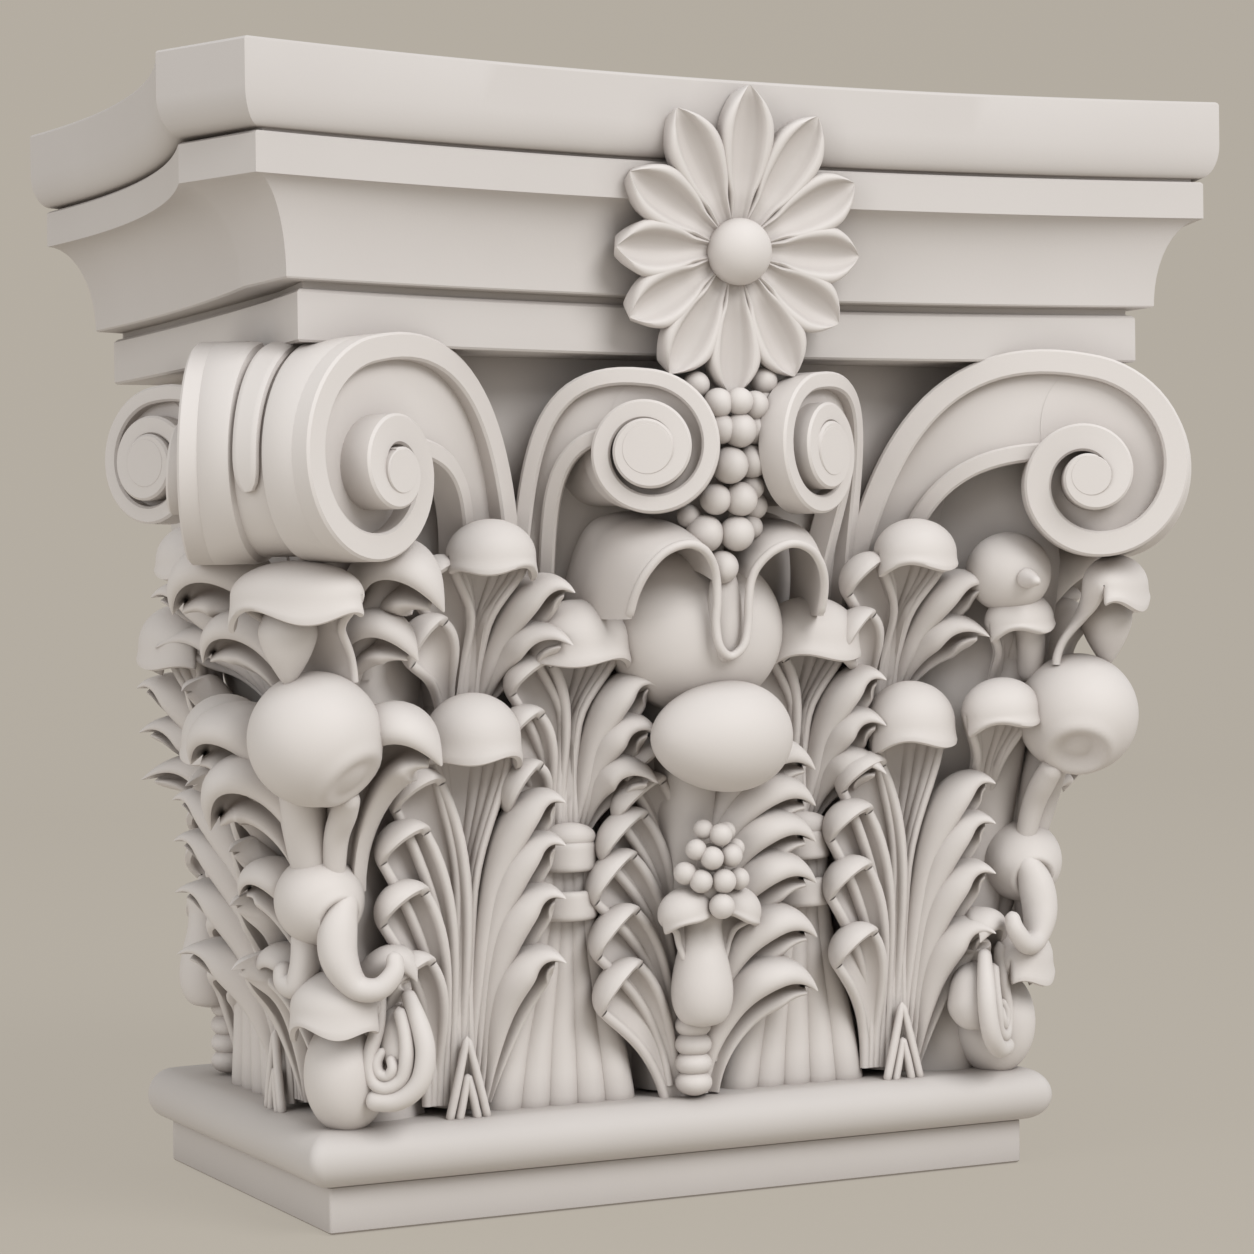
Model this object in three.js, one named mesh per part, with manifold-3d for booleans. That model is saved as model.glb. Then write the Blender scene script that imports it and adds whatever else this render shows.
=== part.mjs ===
// A Corinthian pilaster capital, cast in one piece.
// Millimetres, +Z up, front towards -Y, wall face towards +Y, origin at the middle of the underside.
import * as THREE from 'three';
import { mergeVertices } from 'three/addons/utils/BufferGeometryUtils.js';
import Module from 'manifold-3d';

const wasm = await Module();
wasm.setup();

// Driving dimensions: neck, bell and abacus
const NECK_HALF = 150;
const NECK_DEPTH = 181.5;
const FILLET_HEIGHT = 17.7;
const TORUS_RADIUS = 10.5;
const BELL_INSET = 28;
const BELL_TOP = 323;
const BELL_FLARE = [[150, BELL_INSET], [210, 17], [250, 5], [285, 1], [BELL_TOP, 0]];
const TOTAL_HEIGHT = 423.75;
const FASCIA_HALF = 176;
const FASCIA_DEPTH = 230.7;
const HALF_SLOPE = 0.955;
const DEPTH_SLOPE = 0.8;
const FASCIA_CHAMFER = -3;
const CHAMFER_SLOPE = 0.8;
const CHAMFER_DEPTH = 39;
const FRONT_HOLLOW = 23;
const SIDE_HOLLOW = 3.5;
const HOLLOW_SLOPE = 0.72;
const HOLLOW_MIDDLE = 0.36;
const ABACUS_REACH = 27;
const DEPTH = FASCIA_DEPTH + DEPTH_SLOPE * ABACUS_REACH;

// Leaves: distance along the face, heights of foot and head, how far each stands past the neck,
// the hood's half width, hook and drop, the lobes' reach, how many pairs, and where the lowest tip is
const LARGE_LEAF = {
  u: 94.5, foot: 38, head: 196, footOut: -7, headOut: 9, hoodHalf: 18, hook: 10, drop: 24,
  reach: 36, pairs: 4, lowest: 0.36,
};
const BUNDLE_LEAF = {
  u: 50, foot: 132, head: 231, footOut: -3, headOut: 12, hoodHalf: 19, hook: 9, drop: 23,
  reach: 31, pairs: 3, lowest: 0.28,
};
const SMALL_LEAF = {
  u: 91, foot: 180, head: 261, footOut: -2, headOut: 20, hoodHalf: 17, hook: 9, drop: 20,
  reach: 33, pairs: 2, lowest: 0.32,
};
const SIDE_LARGE_LEAF = { ...LARGE_LEAF, headOut: 17 };
const SIDE_BUNDLE_LEAF = { ...BUNDLE_LEAF, headOut: 22 };
const SIDE_SMALL_LEAF = { ...SMALL_LEAF, headOut: 28 };
const STEM_LEAF = {
  u: 0, foot: 38, head: 172, footOut: -8, headOut: 8, drop: 14, reach: 46, pairs: 4, lowest: 0.28,
};
const WALL_LEAF = { ...STEM_LEAF, wallReach: 28, pairs: 3 };
const CORNER_HOOD = { u: 10, head: 247, headOut: 38, hoodHalf: 22, hook: 9, drop: 19 };

// Tied bundle: middle, levels of height, half width and projection, and its straps
const BUNDLE_MIDDLE = 52;
const BUNDLE_LEVELS = [[37, 29, -9], [113, 11, -5], [144, 12, -4]];
const BUNDLE_STALKS = 3;
const STRAP_HEIGHTS = [116, 134];
const STRAP_WIDTH = 26;
const STRAP_THICK = 6.5;

// Scrolls: the eye, the turn of the face, the radius and its share after a quarter turn, the rim
const ROOT = at(72, 200, -12);
const HELIX = {
  eye: at(37, 289, 42), facing: 0.5, radius: 30, decay: 0.9, root: ROOT, hand: -1,
  width: 7, thick: 14, rise: 6, sides: 8,
};
const VOLUTE = {
  eye: at(146, 279, 56), facing: -0.47, radius: 50, decay: 0.83, root: ROOT, hand: 1,
  width: 9.5, thick: 16, rise: 8, sides: 10,
};
const SIDE_HELIX = { ...HELIX, eye: at(48, 289, 30) };
const SIDE_VOLUTE = { ...VOLUTE, eye: at(146, 279, 46) };
const HELIX_DRUM_SCALE = 0.85;
const SADDLE_SCALE = 0.93;

// Rosette on the abacus
const ROSETTE = at(0, 361, 44);
const ROSETTE_LEAN = 0.15;
const PETALS = 12;
const PETAL_LENGTH = 54;
const PETAL_EXTRA = 7;
const PETAL_HALF = 10;
const BUTTON_SIZES = [12.5, 12.5, 11];
const HUB_RADIUS = 26;
const HUB_LENGTH = 40;

// Grapes: rows from the top down, with how many, their height and radius
const GRAPE_ROWS = [[3, 302, 5.2], [2, 291, 5.6], [2, 280, 6], [3, 268, 5.6], [2, 255, 6], [1, 243, 6]];
const GRAPE_PITCH = 1.8;
const GRAPE_LEVELS = [[238, 6, 29], [318, 14, 41]];

// Calyx: belly, the line of its arched flaps, and the tongue between them
const BELLY = { centre: at(0, 224, 4), sizes: [34, 30, 26] };
const FLAP_LINE = [[5, 236, 33], [13, 252, 37], [30, 256, 38], [46, 246, 32], [53, 222, 20]];
const TONGUE_LEVELS = [[246, 7, 34], [218, 6.5, 35], [210, 3, 32]];
const TONGUE_DEPTH = 12;

// Middle of the front: an egg on its turned-over stalk, berries, lips, bulb and beads
const EGG = { centre: at(0, 179, 26), sizes: [28, 21, 21] };
const EGG_STALK_LEVELS = [[112, 8, 4], [150, 13, 14], [192, 15, 16]];
const BERRY_ROWS = [[1, 119], [2, 128], [1, 138]];
const BERRY_RADIUS = 5;
const BERRY_PITCH = 8.5;
const LIP = { u: 11, v: 113, out: 8, sizes: [8, 5, 6] };
const BEADS = 4;
const BEAD_FOOT = 41;
const BEAD_PITCH = 7.4;
const BEAD_RADIUS = 6.6;
const BEAD_WAIST = 4.4;
const BULB_PROFILE = [[5, 70.5], [10.5, 82], [9, 95], [6, 108], [9, 116], [0, 118]];
const SPINDLE_OUT = 2;

// Corner leaf: stalk levels, balls up the corner, and blades to both sides
const CORNER_LEVELS = [[38, 15, -14], [130, 12, 2], [232, 15, 32]];
const CORNER_BALLS = [
  { centre: at(9, 183, 27), sizes: [24, 24, 24], around: 8, down: 5 },
  { centre: at(-2, 123, 0), sizes: [16, 16, 15], around: 6, down: 4 },
  { centre: at(6, 58, -8), sizes: [22, 18, 15], around: 6, down: 4 },
];
const CORNER_BLADES = [
  { from: 128, to: 180, wide: 40, half: 9 },
  { from: 190, to: 238, wide: 38, half: 8 },
];

// Colour of the plaster
const PLASTER = new THREE.MeshStandardMaterial({ color: 0xcdc6c2, roughness: 0.75, metalness: 0 });

// Directions on a face: along it, up it and out of it
const OUT = new THREE.Vector3(0, -1, 0);
const ALONG = new THREE.Vector3(1, 0, 0);
const UP = new THREE.Vector3(0, 0, 1);

// A point on a face, from its distance along, height, and projection past the neck
function at(u, v, w) {
  return new THREE.Vector3(u, -w, v);
}

function mix(a, b, t) {
  return a + (b - a) * t;
}

// Triangles of a flat loop of points
function capFaces(ring) {
  const normal = new THREE.Vector3();
  ring.forEach((p, i) => {
    const q = ring[(i + 1) % ring.length];
    normal.x += (p.y - q.y) * (p.z + q.z);
    normal.y += (p.z - q.z) * (p.x + q.x);
    normal.z += (p.x - q.x) * (p.y + q.y);
  });
  normal.normalize();
  const helper = Math.abs(normal.z) < 0.9 ? new THREE.Vector3(0, 0, 1) : ALONG;
  const right = helper.clone().cross(normal).normalize();
  const up = normal.clone().cross(right);
  const flat = ring.map((p) => new THREE.Vector2(p.dot(right), p.dot(up)));
  return THREE.ShapeUtils.triangulateShape(flat, []);
}

// The skin between loops that have the same number of points, each joined to the next
function skin(rings, closed) {
  const count = rings[0].length;
  const total = rings.length * count;
  const index = [];
  for (let i = 0; i < rings.length - (closed ? 0 : 1); i += 1) {
    for (let j = 0; j < count; j += 1) {
      const a = i * count + j;
      const b = i * count + ((j + 1) % count);
      index.push(a, b, (b + count) % total, a, (b + count) % total, (a + count) % total);
    }
  }
  return index;
}

function shell(rings, index) {
  const geometry = new THREE.BufferGeometry();
  geometry.setFromPoints(rings.flat());
  geometry.setIndex(index);
  return geometry;
}

// A closed body over a row of loops, capped at both ends
function loft(rings) {
  const last = (rings.length - 1) * rings[0].length;
  const index = skin(rings, false);
  for (const [a, b, c] of capFaces(rings[0])) {
    index.push(c, b, a);
  }
  for (const [a, b, c] of capFaces(rings[rings.length - 1])) {
    index.push(last + a, last + b, last + c);
  }
  return shell(rings, index);
}

// A closed body over a row of loops that comes back to its start
function wheel(rings) {
  return shell(rings, skin(rings, true));
}

// Turn a geometry into a solid, with its faces pointing out
function solid(geometry) {
  const plain = geometry.clone();
  plain.deleteAttribute('normal');
  plain.deleteAttribute('uv');
  const merged = mergeVertices(plain, 1e-3);
  const place = merged.attributes.position;
  const kept = [];
  let volume = 0;
  const p = [new THREE.Vector3(), new THREE.Vector3(), new THREE.Vector3()];
  for (let i = 0; i < merged.index.count; i += 3) {
    const corner = [0, 1, 2].map((k) => merged.index.getX(i + k));
    if (new Set(corner).size < 3) continue;
    corner.forEach((k, n) => p[n].fromBufferAttribute(place, k));
    volume += p[0].dot(p[1].clone().cross(p[2]));
    kept.push(corner);
  }
  const triVerts = kept.flatMap(([a, b, c]) => (volume > 0 ? [a, b, c] : [a, c, b]));
  const mesh = new wasm.Mesh({
    numProp: 3,
    vertProperties: new Float32Array(place.array),
    triVerts: new Uint32Array(triVerts),
  });
  return new wasm.Manifold(mesh);
}

// Neck fillet, torus and bell, as one stack of three-sided outlines against the wall
function neckAndBell() {
  const levels = [[0, 0], [0, FILLET_HEIGHT]];
  const torusMiddle = FILLET_HEIGHT + TORUS_RADIUS;
  const torusSteps = 7;
  for (let i = 1; i < torusSteps; i += 1) {
    const angle = Math.PI * (i / torusSteps - 0.5);
    levels.push([TORUS_RADIUS * Math.cos(angle), torusMiddle + TORUS_RADIUS * Math.sin(angle)]);
  }
  levels.push([-2, torusMiddle + TORUS_RADIUS]);
  levels.push([-BELL_INSET, torusMiddle + TORUS_RADIUS + 1]);
  for (const [height, inset] of BELL_FLARE) {
    levels.push([-inset, height]);
  }
  return loft(levels.map(([reach, z]) => {
    const x = NECK_HALF + reach;
    const y = -NECK_DEPTH - reach;
    return [[-x, 0], [-x, y], [x, y], [x, 0]].map(([px, py]) => new THREE.Vector3(px, py, z));
  }));
}

// The abacus outline in plan, pushed out by reach from the fascia
function abacusOutline(reach, z) {
  const frontSteps = 8;
  const sideSteps = 5;
  const cornerX = FASCIA_HALF + HALF_SLOPE * reach;
  const cornerY = FASCIA_DEPTH + DEPTH_SLOPE * reach;
  const backX = cornerX + FASCIA_CHAMFER + CHAMFER_SLOPE * reach;
  const backY = cornerY - CHAMFER_DEPTH;
  const sideHollow = SIDE_HOLLOW + HOLLOW_SLOPE * reach;
  const side = [];
  for (let i = 0; i <= sideSteps; i += 1) {
    const t = i / sideSteps;
    const bow = ((t - HOLLOW_MIDDLE) / (1 - HOLLOW_MIDDLE)) ** 2;
    side.push([backX - sideHollow * (1 - bow), -backY * t]);
  }
  const points = side.map(([x, y]) => [-x, y]);
  for (let i = 0; i <= frontSteps; i += 1) {
    const t = mix(-1, 1, i / frontSteps);
    points.push([cornerX * t, -(cornerY - FRONT_HOLLOW * (1 - t * t))]);
  }
  points.push(...side.reverse());
  return points.map(([x, y]) => new THREE.Vector3(x, y, z));
}

// Abacus: fascia, cavetto, fillet and ovolo
function abacus() {
  const fasciaTop = 341;
  const cavettoFoot = 344;
  const cavettoHead = 378.3;
  const cavettoIn = 6;
  const filletReach = 21.8;
  const filletHead = 392.6;
  const ovoloFoot = 394;
  const levels = [[0, BELL_TOP - 0.5], [0, fasciaTop], [-3.5, cavettoFoot - 0.5], [cavettoIn, cavettoFoot]];
  const cavettoSteps = 3;
  for (let i = 1; i <= cavettoSteps; i += 1) {
    const angle = (Math.PI / 2) * (i / cavettoSteps);
    levels.push([
      mix(cavettoIn, filletReach, 1 - Math.cos(angle)),
      mix(cavettoFoot, cavettoHead, Math.sin(angle)),
    ]);
  }
  levels.push([filletReach, filletHead], [filletReach - 2, ovoloFoot - 0.4], [filletReach - 1, ovoloFoot]);
  const ovoloSteps = 2;
  for (let i = 1; i <= ovoloSteps; i += 1) {
    const angle = (Math.PI / 2) * (i / ovoloSteps);
    levels.push([
      mix(filletReach - 1, ABACUS_REACH, Math.sin(angle)),
      mix(ovoloFoot, ovoloFoot + 13, 1 - Math.cos(angle)),
    ]);
  }
  levels.push([ABACUS_REACH, TOTAL_HEIGHT - 2], [ABACUS_REACH - 2, TOTAL_HEIGHT]);
  return loft(levels.map(([reach, z]) => abacusOutline(reach, z)));
}

// A ball, squashed by its three half sizes
function ball(centre, sizes, around = 8, down = 6) {
  const geometry = new THREE.SphereGeometry(1, around, down);
  geometry.rotateX(Math.PI / 2);
  geometry.scale(sizes[0], sizes[2], sizes[1]);
  geometry.translate(centre.x, centre.y, centre.z);
  return geometry;
}

// One lobe of an acanthus leaf: a blade that fans off the stalk, its upper edge turned forward
function lobe(points, halfWidth, hand) {
  const widths = [0.45, 1, 0.12];
  const curve = new THREE.CubicBezierCurve3(...points);
  const rings = widths.map((share, i) => {
    const t = [0, 0.62, 1][i];
    const half = halfWidth * share;
    const centre = curve.getPoint(t);
    const upper = curve.getTangent(t).cross(OUT).normalize().multiplyScalar(-hand);
    return [
      centre.clone().addScaledVector(upper, half).addScaledVector(OUT, half * 0.55),
      centre.clone().addScaledVector(upper, -half),
      centre.clone().addScaledVector(OUT, -half * 0.8 - 1.5),
    ];
  });
  return loft(rings);
}

// The hood at the head of a leaf: a cap that hangs forward over its lip
function hood({ u, head, headOut, hoodHalf, hook, drop }) {
  const back = headOut - 14;
  const level = (v, half, edge, front) => [
    at(u - half * 0.7, v, back), at(u - half, v, edge), at(u - half * 0.5, v, mix(edge, front, 0.8)),
    at(u + half * 0.5, v, mix(edge, front, 0.8)), at(u + half, v, edge), at(u + half * 0.7, v, back),
  ];
  return loft([
    level(head - drop, hoodHalf, headOut - 1, headOut + hook * 1.6),
    level(head - drop * 0.4, hoodHalf * 0.92, headOut - 1, headOut + hook * 1.5),
    level(head, hoodHalf * 0.45, headOut - 3, headOut + 3),
  ]);
}

// The blade of a leaf: lobes in pairs that fan off a midrib and droop to a point, each one hollowed
function blade(spec) {
  const { u, foot, head, footOut, headOut, drop, reach, wallReach = reach, pairs, lowest } = spec;
  const footHalf = 10;
  const neckHalf = 8;
  const rootHalf = 7;
  const lip = head - drop;
  const spine = (v) => mix(footOut, headOut, ((v - foot) / (head - foot)) ** 2);
  const bottomTip = mix(foot, head, lowest);
  const pitch = (head - drop * 1.7 - bottomTip) / (pairs - 1);
  const points = [];
  const index = [];
  const keep = (...place) => points.push(at(...place)) - 1;
  const ribs = [keep(u, foot, footOut + 2)];
  for (let i = 1; i < pairs; i += 1) {
    const v = bottomTip + pitch * (i - 0.9);
    ribs.push(keep(u, v, spine(v) + 2));
  }
  ribs.push(keep(u, lip + 2, headOut));
  const face = (a, b, c, hand) => index.push(...(hand > 0 ? [a, b, c] : [a, c, b]));
  const [right, left] = [1, -1].map((hand) => {
    const edge = [keep(u + hand * footHalf, foot, footOut - 3)];
    for (let i = 0; i < pairs; i += 1) {
      const v = bottomTip + pitch * i;
      const out = spine(v);
      const wide = hand * (hand > 0 ? reach : wallReach) * mix(0.88, 1, i / (pairs - 1));
      const start = edge[edge.length - 1];
      const corner = keep(u + wide * 0.5, v - pitch * 0.3, out - 4);
      const tip = keep(u + wide, v, out + 5);
      const brow = keep(u + wide * 0.62, v + pitch * 0.42, out + 10);
      const hollow = keep(u + wide * 0.55, v + pitch * 0.05, out);
      const loop = [ribs[i], start, corner, tip, brow, ribs[i + 1]];
      loop.forEach((k, n) => face(hollow, k, loop[(n + 1) % loop.length], hand));
      edge.push(corner, tip, brow);
    }
    const neck = keep(u + hand * neckHalf, lip + 2, headOut - 5);
    face(ribs[pairs], edge[edge.length - 1], neck, hand);
    edge.push(neck);
    return edge;
  });
  const front = [ribs[0], ...right, ribs[pairs], ...left.reverse()];
  const heights = [foot, mix(foot, lip, 0.5), lip];
  const ringAt = (out) => [1, -1].flatMap((hand) => heights
    .map((_, i) => keep(u + hand * rootHalf, heights[hand > 0 ? i : 2 - i], out)));
  const waist = ringAt(-BELL_INSET + 3);
  const root = ringAt(-BELL_INSET - 2);
  const station = (k) => {
    const level = Math.round((2 * (points[k].z - foot)) / (lip - foot));
    const held = Math.min(Math.max(level, 0), 2);
    return points[k].x >= u ? held : 5 - held;
  };
  front.forEach((k, i) => {
    const next = front[(i + 1) % front.length];
    let step = station(k);
    index.push(next, k, waist[step]);
    while (step !== station(next)) {
      const following = (step + 1) % waist.length;
      index.push(next, waist[step], waist[following]);
      step = following;
    }
  });
  waist.forEach((k, i) => {
    const n = (i + 1) % waist.length;
    index.push(waist[n], k, root[i], waist[n], root[i], root[n]);
  });
  for (const [a, b, c] of capFaces(root.map((k) => points[k]))) {
    index.push(root[c], root[b], root[a]);
  }
  return new THREE.BufferGeometry().setFromPoints(points).setIndex(index);
}

function leaf(spec) {
  return [blade(spec), hood(spec)];
}

// A bundle of stalks tied by two straps
function bundle() {
  const behind = -BELL_INSET - 2;
  const rings = BUNDLE_LEVELS.map(([v, half, out]) => {
    const ring = [];
    for (let i = 0; i <= 2 * BUNDLE_STALKS; i += 1) {
      const groove = i % 2 === 1 ? 0 : half / BUNDLE_STALKS;
      ring.push(at(BUNDLE_MIDDLE + mix(-half, half, i / (2 * BUNDLE_STALKS)), v, out - groove));
    }
    ring.push(at(BUNDLE_MIDDLE + half, v, behind), at(BUNDLE_MIDDLE - half, v, behind));
    return ring;
  });
  const straps = STRAP_HEIGHTS.map((height) => {
    const strap = new THREE.BoxGeometry(STRAP_WIDTH, STRAP_WIDTH, STRAP_THICK);
    strap.translate(BUNDLE_MIDDLE, STRAP_WIDTH / 2, height);
    return strap;
  });
  return [loft(rings), ...straps];
}

// A wedge-fronted backing that grows out of the bell, over levels of height, half width and projection
function backing(levels) {
  const bevel = 6;
  return loft(levels.map(([v, half, out]) => [
    at(-half, v, -BELL_INSET - 2), at(-half, v, out - bevel), at(0, v, out), at(half, v, out - bevel),
    at(half, v, -BELL_INSET - 2),
  ]));
}

// The flat face that a scroll is wound on: its eye, its outline and its directions
function scrollFace({ eye, facing, radius, decay, hand }) {
  const across = new THREE.Vector3(Math.cos(facing), Math.sin(facing), 0);
  const front = new THREE.Vector3(Math.sin(facing), -Math.cos(facing), 0);
  const size = (angle) => radius * decay ** (angle / (Math.PI / 2));
  const place = (angle, r, lift) => eye.clone()
    .addScaledVector(across, hand * r * Math.sin(angle))
    .addScaledVector(UP, r * Math.cos(angle))
    .addScaledVector(front, lift);
  return { size, place };
}

// A scroll: one turn of a rimmed disc, with a raised eye, on a stem that rises from the bell
function scroll(spec) {
  const { eye, root, hand, width, thick, rise, sides } = spec;
  const { size, place } = scrollFace(spec);
  const full = 2 * Math.PI;
  const floor = -3.5;
  const rings = Array.from({ length: sides }, (_, i) => {
    const angle = (full * i) / sides;
    const lift = (rise * i) / sides;
    const outer = size(angle);
    const core = size(angle + full);
    return [
      place(0, 0, -thick), place(angle, outer, -thick), place(angle, outer, lift),
      place(angle, mix(outer, core, 0.45), lift), place(angle, core, lift + floor),
      place(angle, core * 0.96, rise), place(0, 0, rise),
    ];
  });
  const join = 0.1;
  const top = place(join, size(join), 0);
  const under = place(join, size(join) - 2.4 * width, 0);
  const heading = place(join + 0.02, size(join + 0.02), 0).sub(top).normalize();
  const length = top.distanceTo(root);
  const arc = (from, to, lift, pull) => new THREE.CubicBezierCurve3(
    from,
    from.clone().addScaledVector(UP, length * lift),
    to.clone().addScaledVector(heading, -length * pull),
    to,
  );
  const outerArc = arc(root, top, 0.5, 0.4);
  const innerArc = arc(root.clone().addScaledVector(ALONG, hand * width * 2.2), under, 0.35, 0.3);
  const back = place(0, 0, -thick * 0.8).sub(eye);
  const steps = 3;
  const stemRings = Array.from({ length: steps + 1 }, (_, i) => {
    const outer = outerArc.getPoint(i / steps);
    const inner = innerArc.getPoint(i / steps);
    return [outer.clone().add(back), outer, inner, inner.clone().add(back)];
  });
  return [wheel(rings), loft(stemRings)];
}

// The drum behind a scroll, from its outline to another
function drum(from, to, scale) {
  const sides = 7;
  const outline = (spec) => {
    const { size, place } = scrollFace(spec);
    return Array.from({ length: sides }, (_, i) => {
      const angle = (2 * Math.PI * i) / sides;
      return place(angle, size(angle) * scale, -spec.thick * 0.6);
    });
  };
  return loft([outline(from), outline(to)]);
}

const solids = [];
const WHOLE = new THREE.Matrix4();
const MIRROR = new THREE.Matrix4().makeScale(-1, 1, 1);

// Put geometries into place and keep them as solids
function add(geometries, ...places) {
  for (const place of places) {
    for (const geometry of [geometries].flat()) {
      solids.push(solid(geometry.clone().applyMatrix4(place)));
    }
  }
}

// Places of the faces: the front, the two sides and the two corners
const FRONT = new THREE.Matrix4().makeTranslation(0, -NECK_DEPTH, 0);
const SIDE_CENTRE = NECK_DEPTH - NECK_HALF;
const LEFT = new THREE.Matrix4().makeTranslation(-NECK_HALF, -SIDE_CENTRE, 0)
  .multiply(new THREE.Matrix4().makeRotationZ(-Math.PI / 2));
const CORNER = new THREE.Matrix4().makeTranslation(-NECK_HALF, -NECK_DEPTH, 0)
  .multiply(new THREE.Matrix4().makeRotationZ(-Math.PI / 4));
const both = (place) => [place, MIRROR.clone().multiply(place)];
const halves = (place) => [place, place.clone().multiply(MIRROR)];

add(neckAndBell(), WHOLE);
add(abacus(), WHOLE);
for (const spec of [LARGE_LEAF, BUNDLE_LEAF, SMALL_LEAF]) {
  add(leaf(spec), ...halves(FRONT));
}
for (const spec of [SIDE_LARGE_LEAF, SIDE_BUNDLE_LEAF, SIDE_SMALL_LEAF]) {
  add(leaf(spec), ...both(LEFT));
}
add(bundle(), ...halves(FRONT), ...both(LEFT));

// Inner helix and corner volute of half a face, each helix on a drum
const inner = (helix) => ({ ...helix, eye: at(helix.eye.x + 4, 284, -BELL_INSET - 8), facing: 0 });
add([...scroll(HELIX), drum(HELIX, inner(HELIX), HELIX_DRUM_SCALE)], ...halves(FRONT));
add(scroll(VOLUTE), ...halves(FRONT));
add([...scroll(SIDE_HELIX), drum(SIDE_HELIX, inner(SIDE_HELIX), HELIX_DRUM_SCALE)], ...both(LEFT));
add(scroll(SIDE_VOLUTE), ...both(LEFT));

// The saddle between the two faces of the corner volute on the right, and its mirror image
const saddleFront = { ...VOLUTE, eye: VOLUTE.eye.clone().applyMatrix4(FRONT) };
const saddleSide = {
  ...VOLUTE,
  eye: new THREE.Vector3(NECK_HALF - SIDE_VOLUTE.eye.y, -SIDE_CENTRE - SIDE_VOLUTE.eye.x, VOLUTE.eye.z),
  facing: Math.PI / 2 - VOLUTE.facing,
  hand: -1,
};
add(drum(saddleFront, saddleSide, SADDLE_SCALE), ...both(WHOLE));

// The leaf up the middle of each face
add(blade(STEM_LEAF), FRONT);
add(blade(WALL_LEAF), ...both(LEFT));

// A rosette petal: a hollow boat with a pointed end
function petal(angle, length, half) {
  const along = at(Math.sin(angle), Math.cos(angle), 0);
  const across = at(Math.cos(angle), -Math.sin(angle), 0);
  const spot = (r, side, out) => ROSETTE.clone().addScaledVector(along, r).addScaledVector(across, side)
    .addScaledVector(OUT, out + ROSETTE_LEAN * r * Math.cos(angle));
  const middle = length * 0.62;
  const points = [
    spot(length * 0.15, 0, 5), spot(middle, half, 7), spot(length, 0, 6), spot(middle, -half, 7),
    spot(length * 0.6, 0, 2), spot(length * 0.45, 0, -3),
  ];
  const index = [];
  for (let i = 0; i < 4; i += 1) {
    const next = (i + 1) % 4;
    index.push(4, next, i, 5, i, next);
  }
  return new THREE.BufferGeometry().setFromPoints(points).setIndex(index);
}

// The rosette: petals, a button, and a hub that holds it to the abacus
for (let i = 0; i < PETALS; i += 1) {
  const angle = (2 * Math.PI * i) / PETALS;
  add(petal(angle, PETAL_LENGTH + PETAL_EXTRA * Math.cos(angle) ** 2, PETAL_HALF), FRONT);
}
add(ball(ROSETTE.clone().addScaledVector(OUT, 6), BUTTON_SIZES), FRONT);
const hub = new THREE.CylinderGeometry(HUB_RADIUS, HUB_RADIUS - 4, HUB_LENGTH, 6);
hub.translate(ROSETTE.x, ROSETTE.y + HUB_LENGTH * 0.4, ROSETTE.z);
add(hub, FRONT);

// One berry or grape
function grape(centre, radius) {
  const geometry = new THREE.IcosahedronGeometry(radius * 1.08, 0);
  geometry.translate(centre.x, centre.y, centre.z);
  return geometry;
}

// Grapes between the helices, on a backing
const [grapeFoot, grapeHead] = GRAPE_LEVELS;
const grapeFront = (v) => mix(grapeFoot[2], grapeHead[2], (v - grapeFoot[0]) / (grapeHead[0] - grapeFoot[0]));
for (const [count, height, radius] of GRAPE_ROWS) {
  for (let i = 0; i < count; i += 1) {
    const u = (i - (count - 1) / 2) * radius * GRAPE_PITCH;
    add(grape(at(u, height, grapeFront(height) + 2 - Math.abs(u) * 0.35), radius), FRONT);
  }
}
add(backing(GRAPE_LEVELS), FRONT);

// The calyx under the grapes: a belly, two arched flaps and a tongue between them
add(ball(BELLY.centre, BELLY.sizes, 8, 5), FRONT);
const flap = (hand) => loft(FLAP_LINE.map(([u, v, out]) => [
  at(hand * u, v, out), at(hand * u, v + 3, out - 2), at(hand * u * 0.9, v + 14, out - 34),
  at(hand * u * 0.9, v + 6, out - 36),
]));
add([flap(1), flap(-1)], FRONT);
add(loft(TONGUE_LEVELS.map(([v, half, out]) => [
  at(-half, v, out - TONGUE_DEPTH), at(-half, v, out), at(half, v, out), at(half, v, out - TONGUE_DEPTH),
])), FRONT);

// The egg that turns over above the central stem
add(ball(EGG.centre, EGG.sizes, 8, 5), FRONT);
add(backing(EGG_STALK_LEVELS), FRONT);

// The central stem: beads, a bulb with a waist, two lips and a cluster of berries
const profile = [[0, BEAD_FOOT - 1]];
for (let i = 0; i < BEADS; i += 1) {
  const height = BEAD_FOOT + i * BEAD_PITCH;
  profile.push([BEAD_WAIST, height], [BEAD_RADIUS, height + BEAD_PITCH / 2]);
}
profile.push(...BULB_PROFILE);
const spindle = new THREE.LatheGeometry(profile.map(([r, h]) => new THREE.Vector2(r, h)), 7);
spindle.rotateX(Math.PI / 2);
spindle.translate(0, -SPINDLE_OUT, 0);
add(spindle, FRONT);
for (const hand of [-1, 1]) {
  add(ball(at(hand * LIP.u, LIP.v, LIP.out), LIP.sizes, 6, 4), FRONT);
}
const [stalkFoot, stalkHead] = EGG_STALK_LEVELS;
for (const [count, height] of BERRY_ROWS) {
  const share = (height - stalkFoot[0]) / (stalkHead[0] - stalkFoot[0]);
  for (let i = 0; i < count; i += 1) {
    const u = (i - (count - 1) / 2) * BERRY_PITCH;
    add(grape(at(u, height, mix(stalkFoot[2], stalkHead[2], share) + 2), BERRY_RADIUS), FRONT);
  }
}

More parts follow.
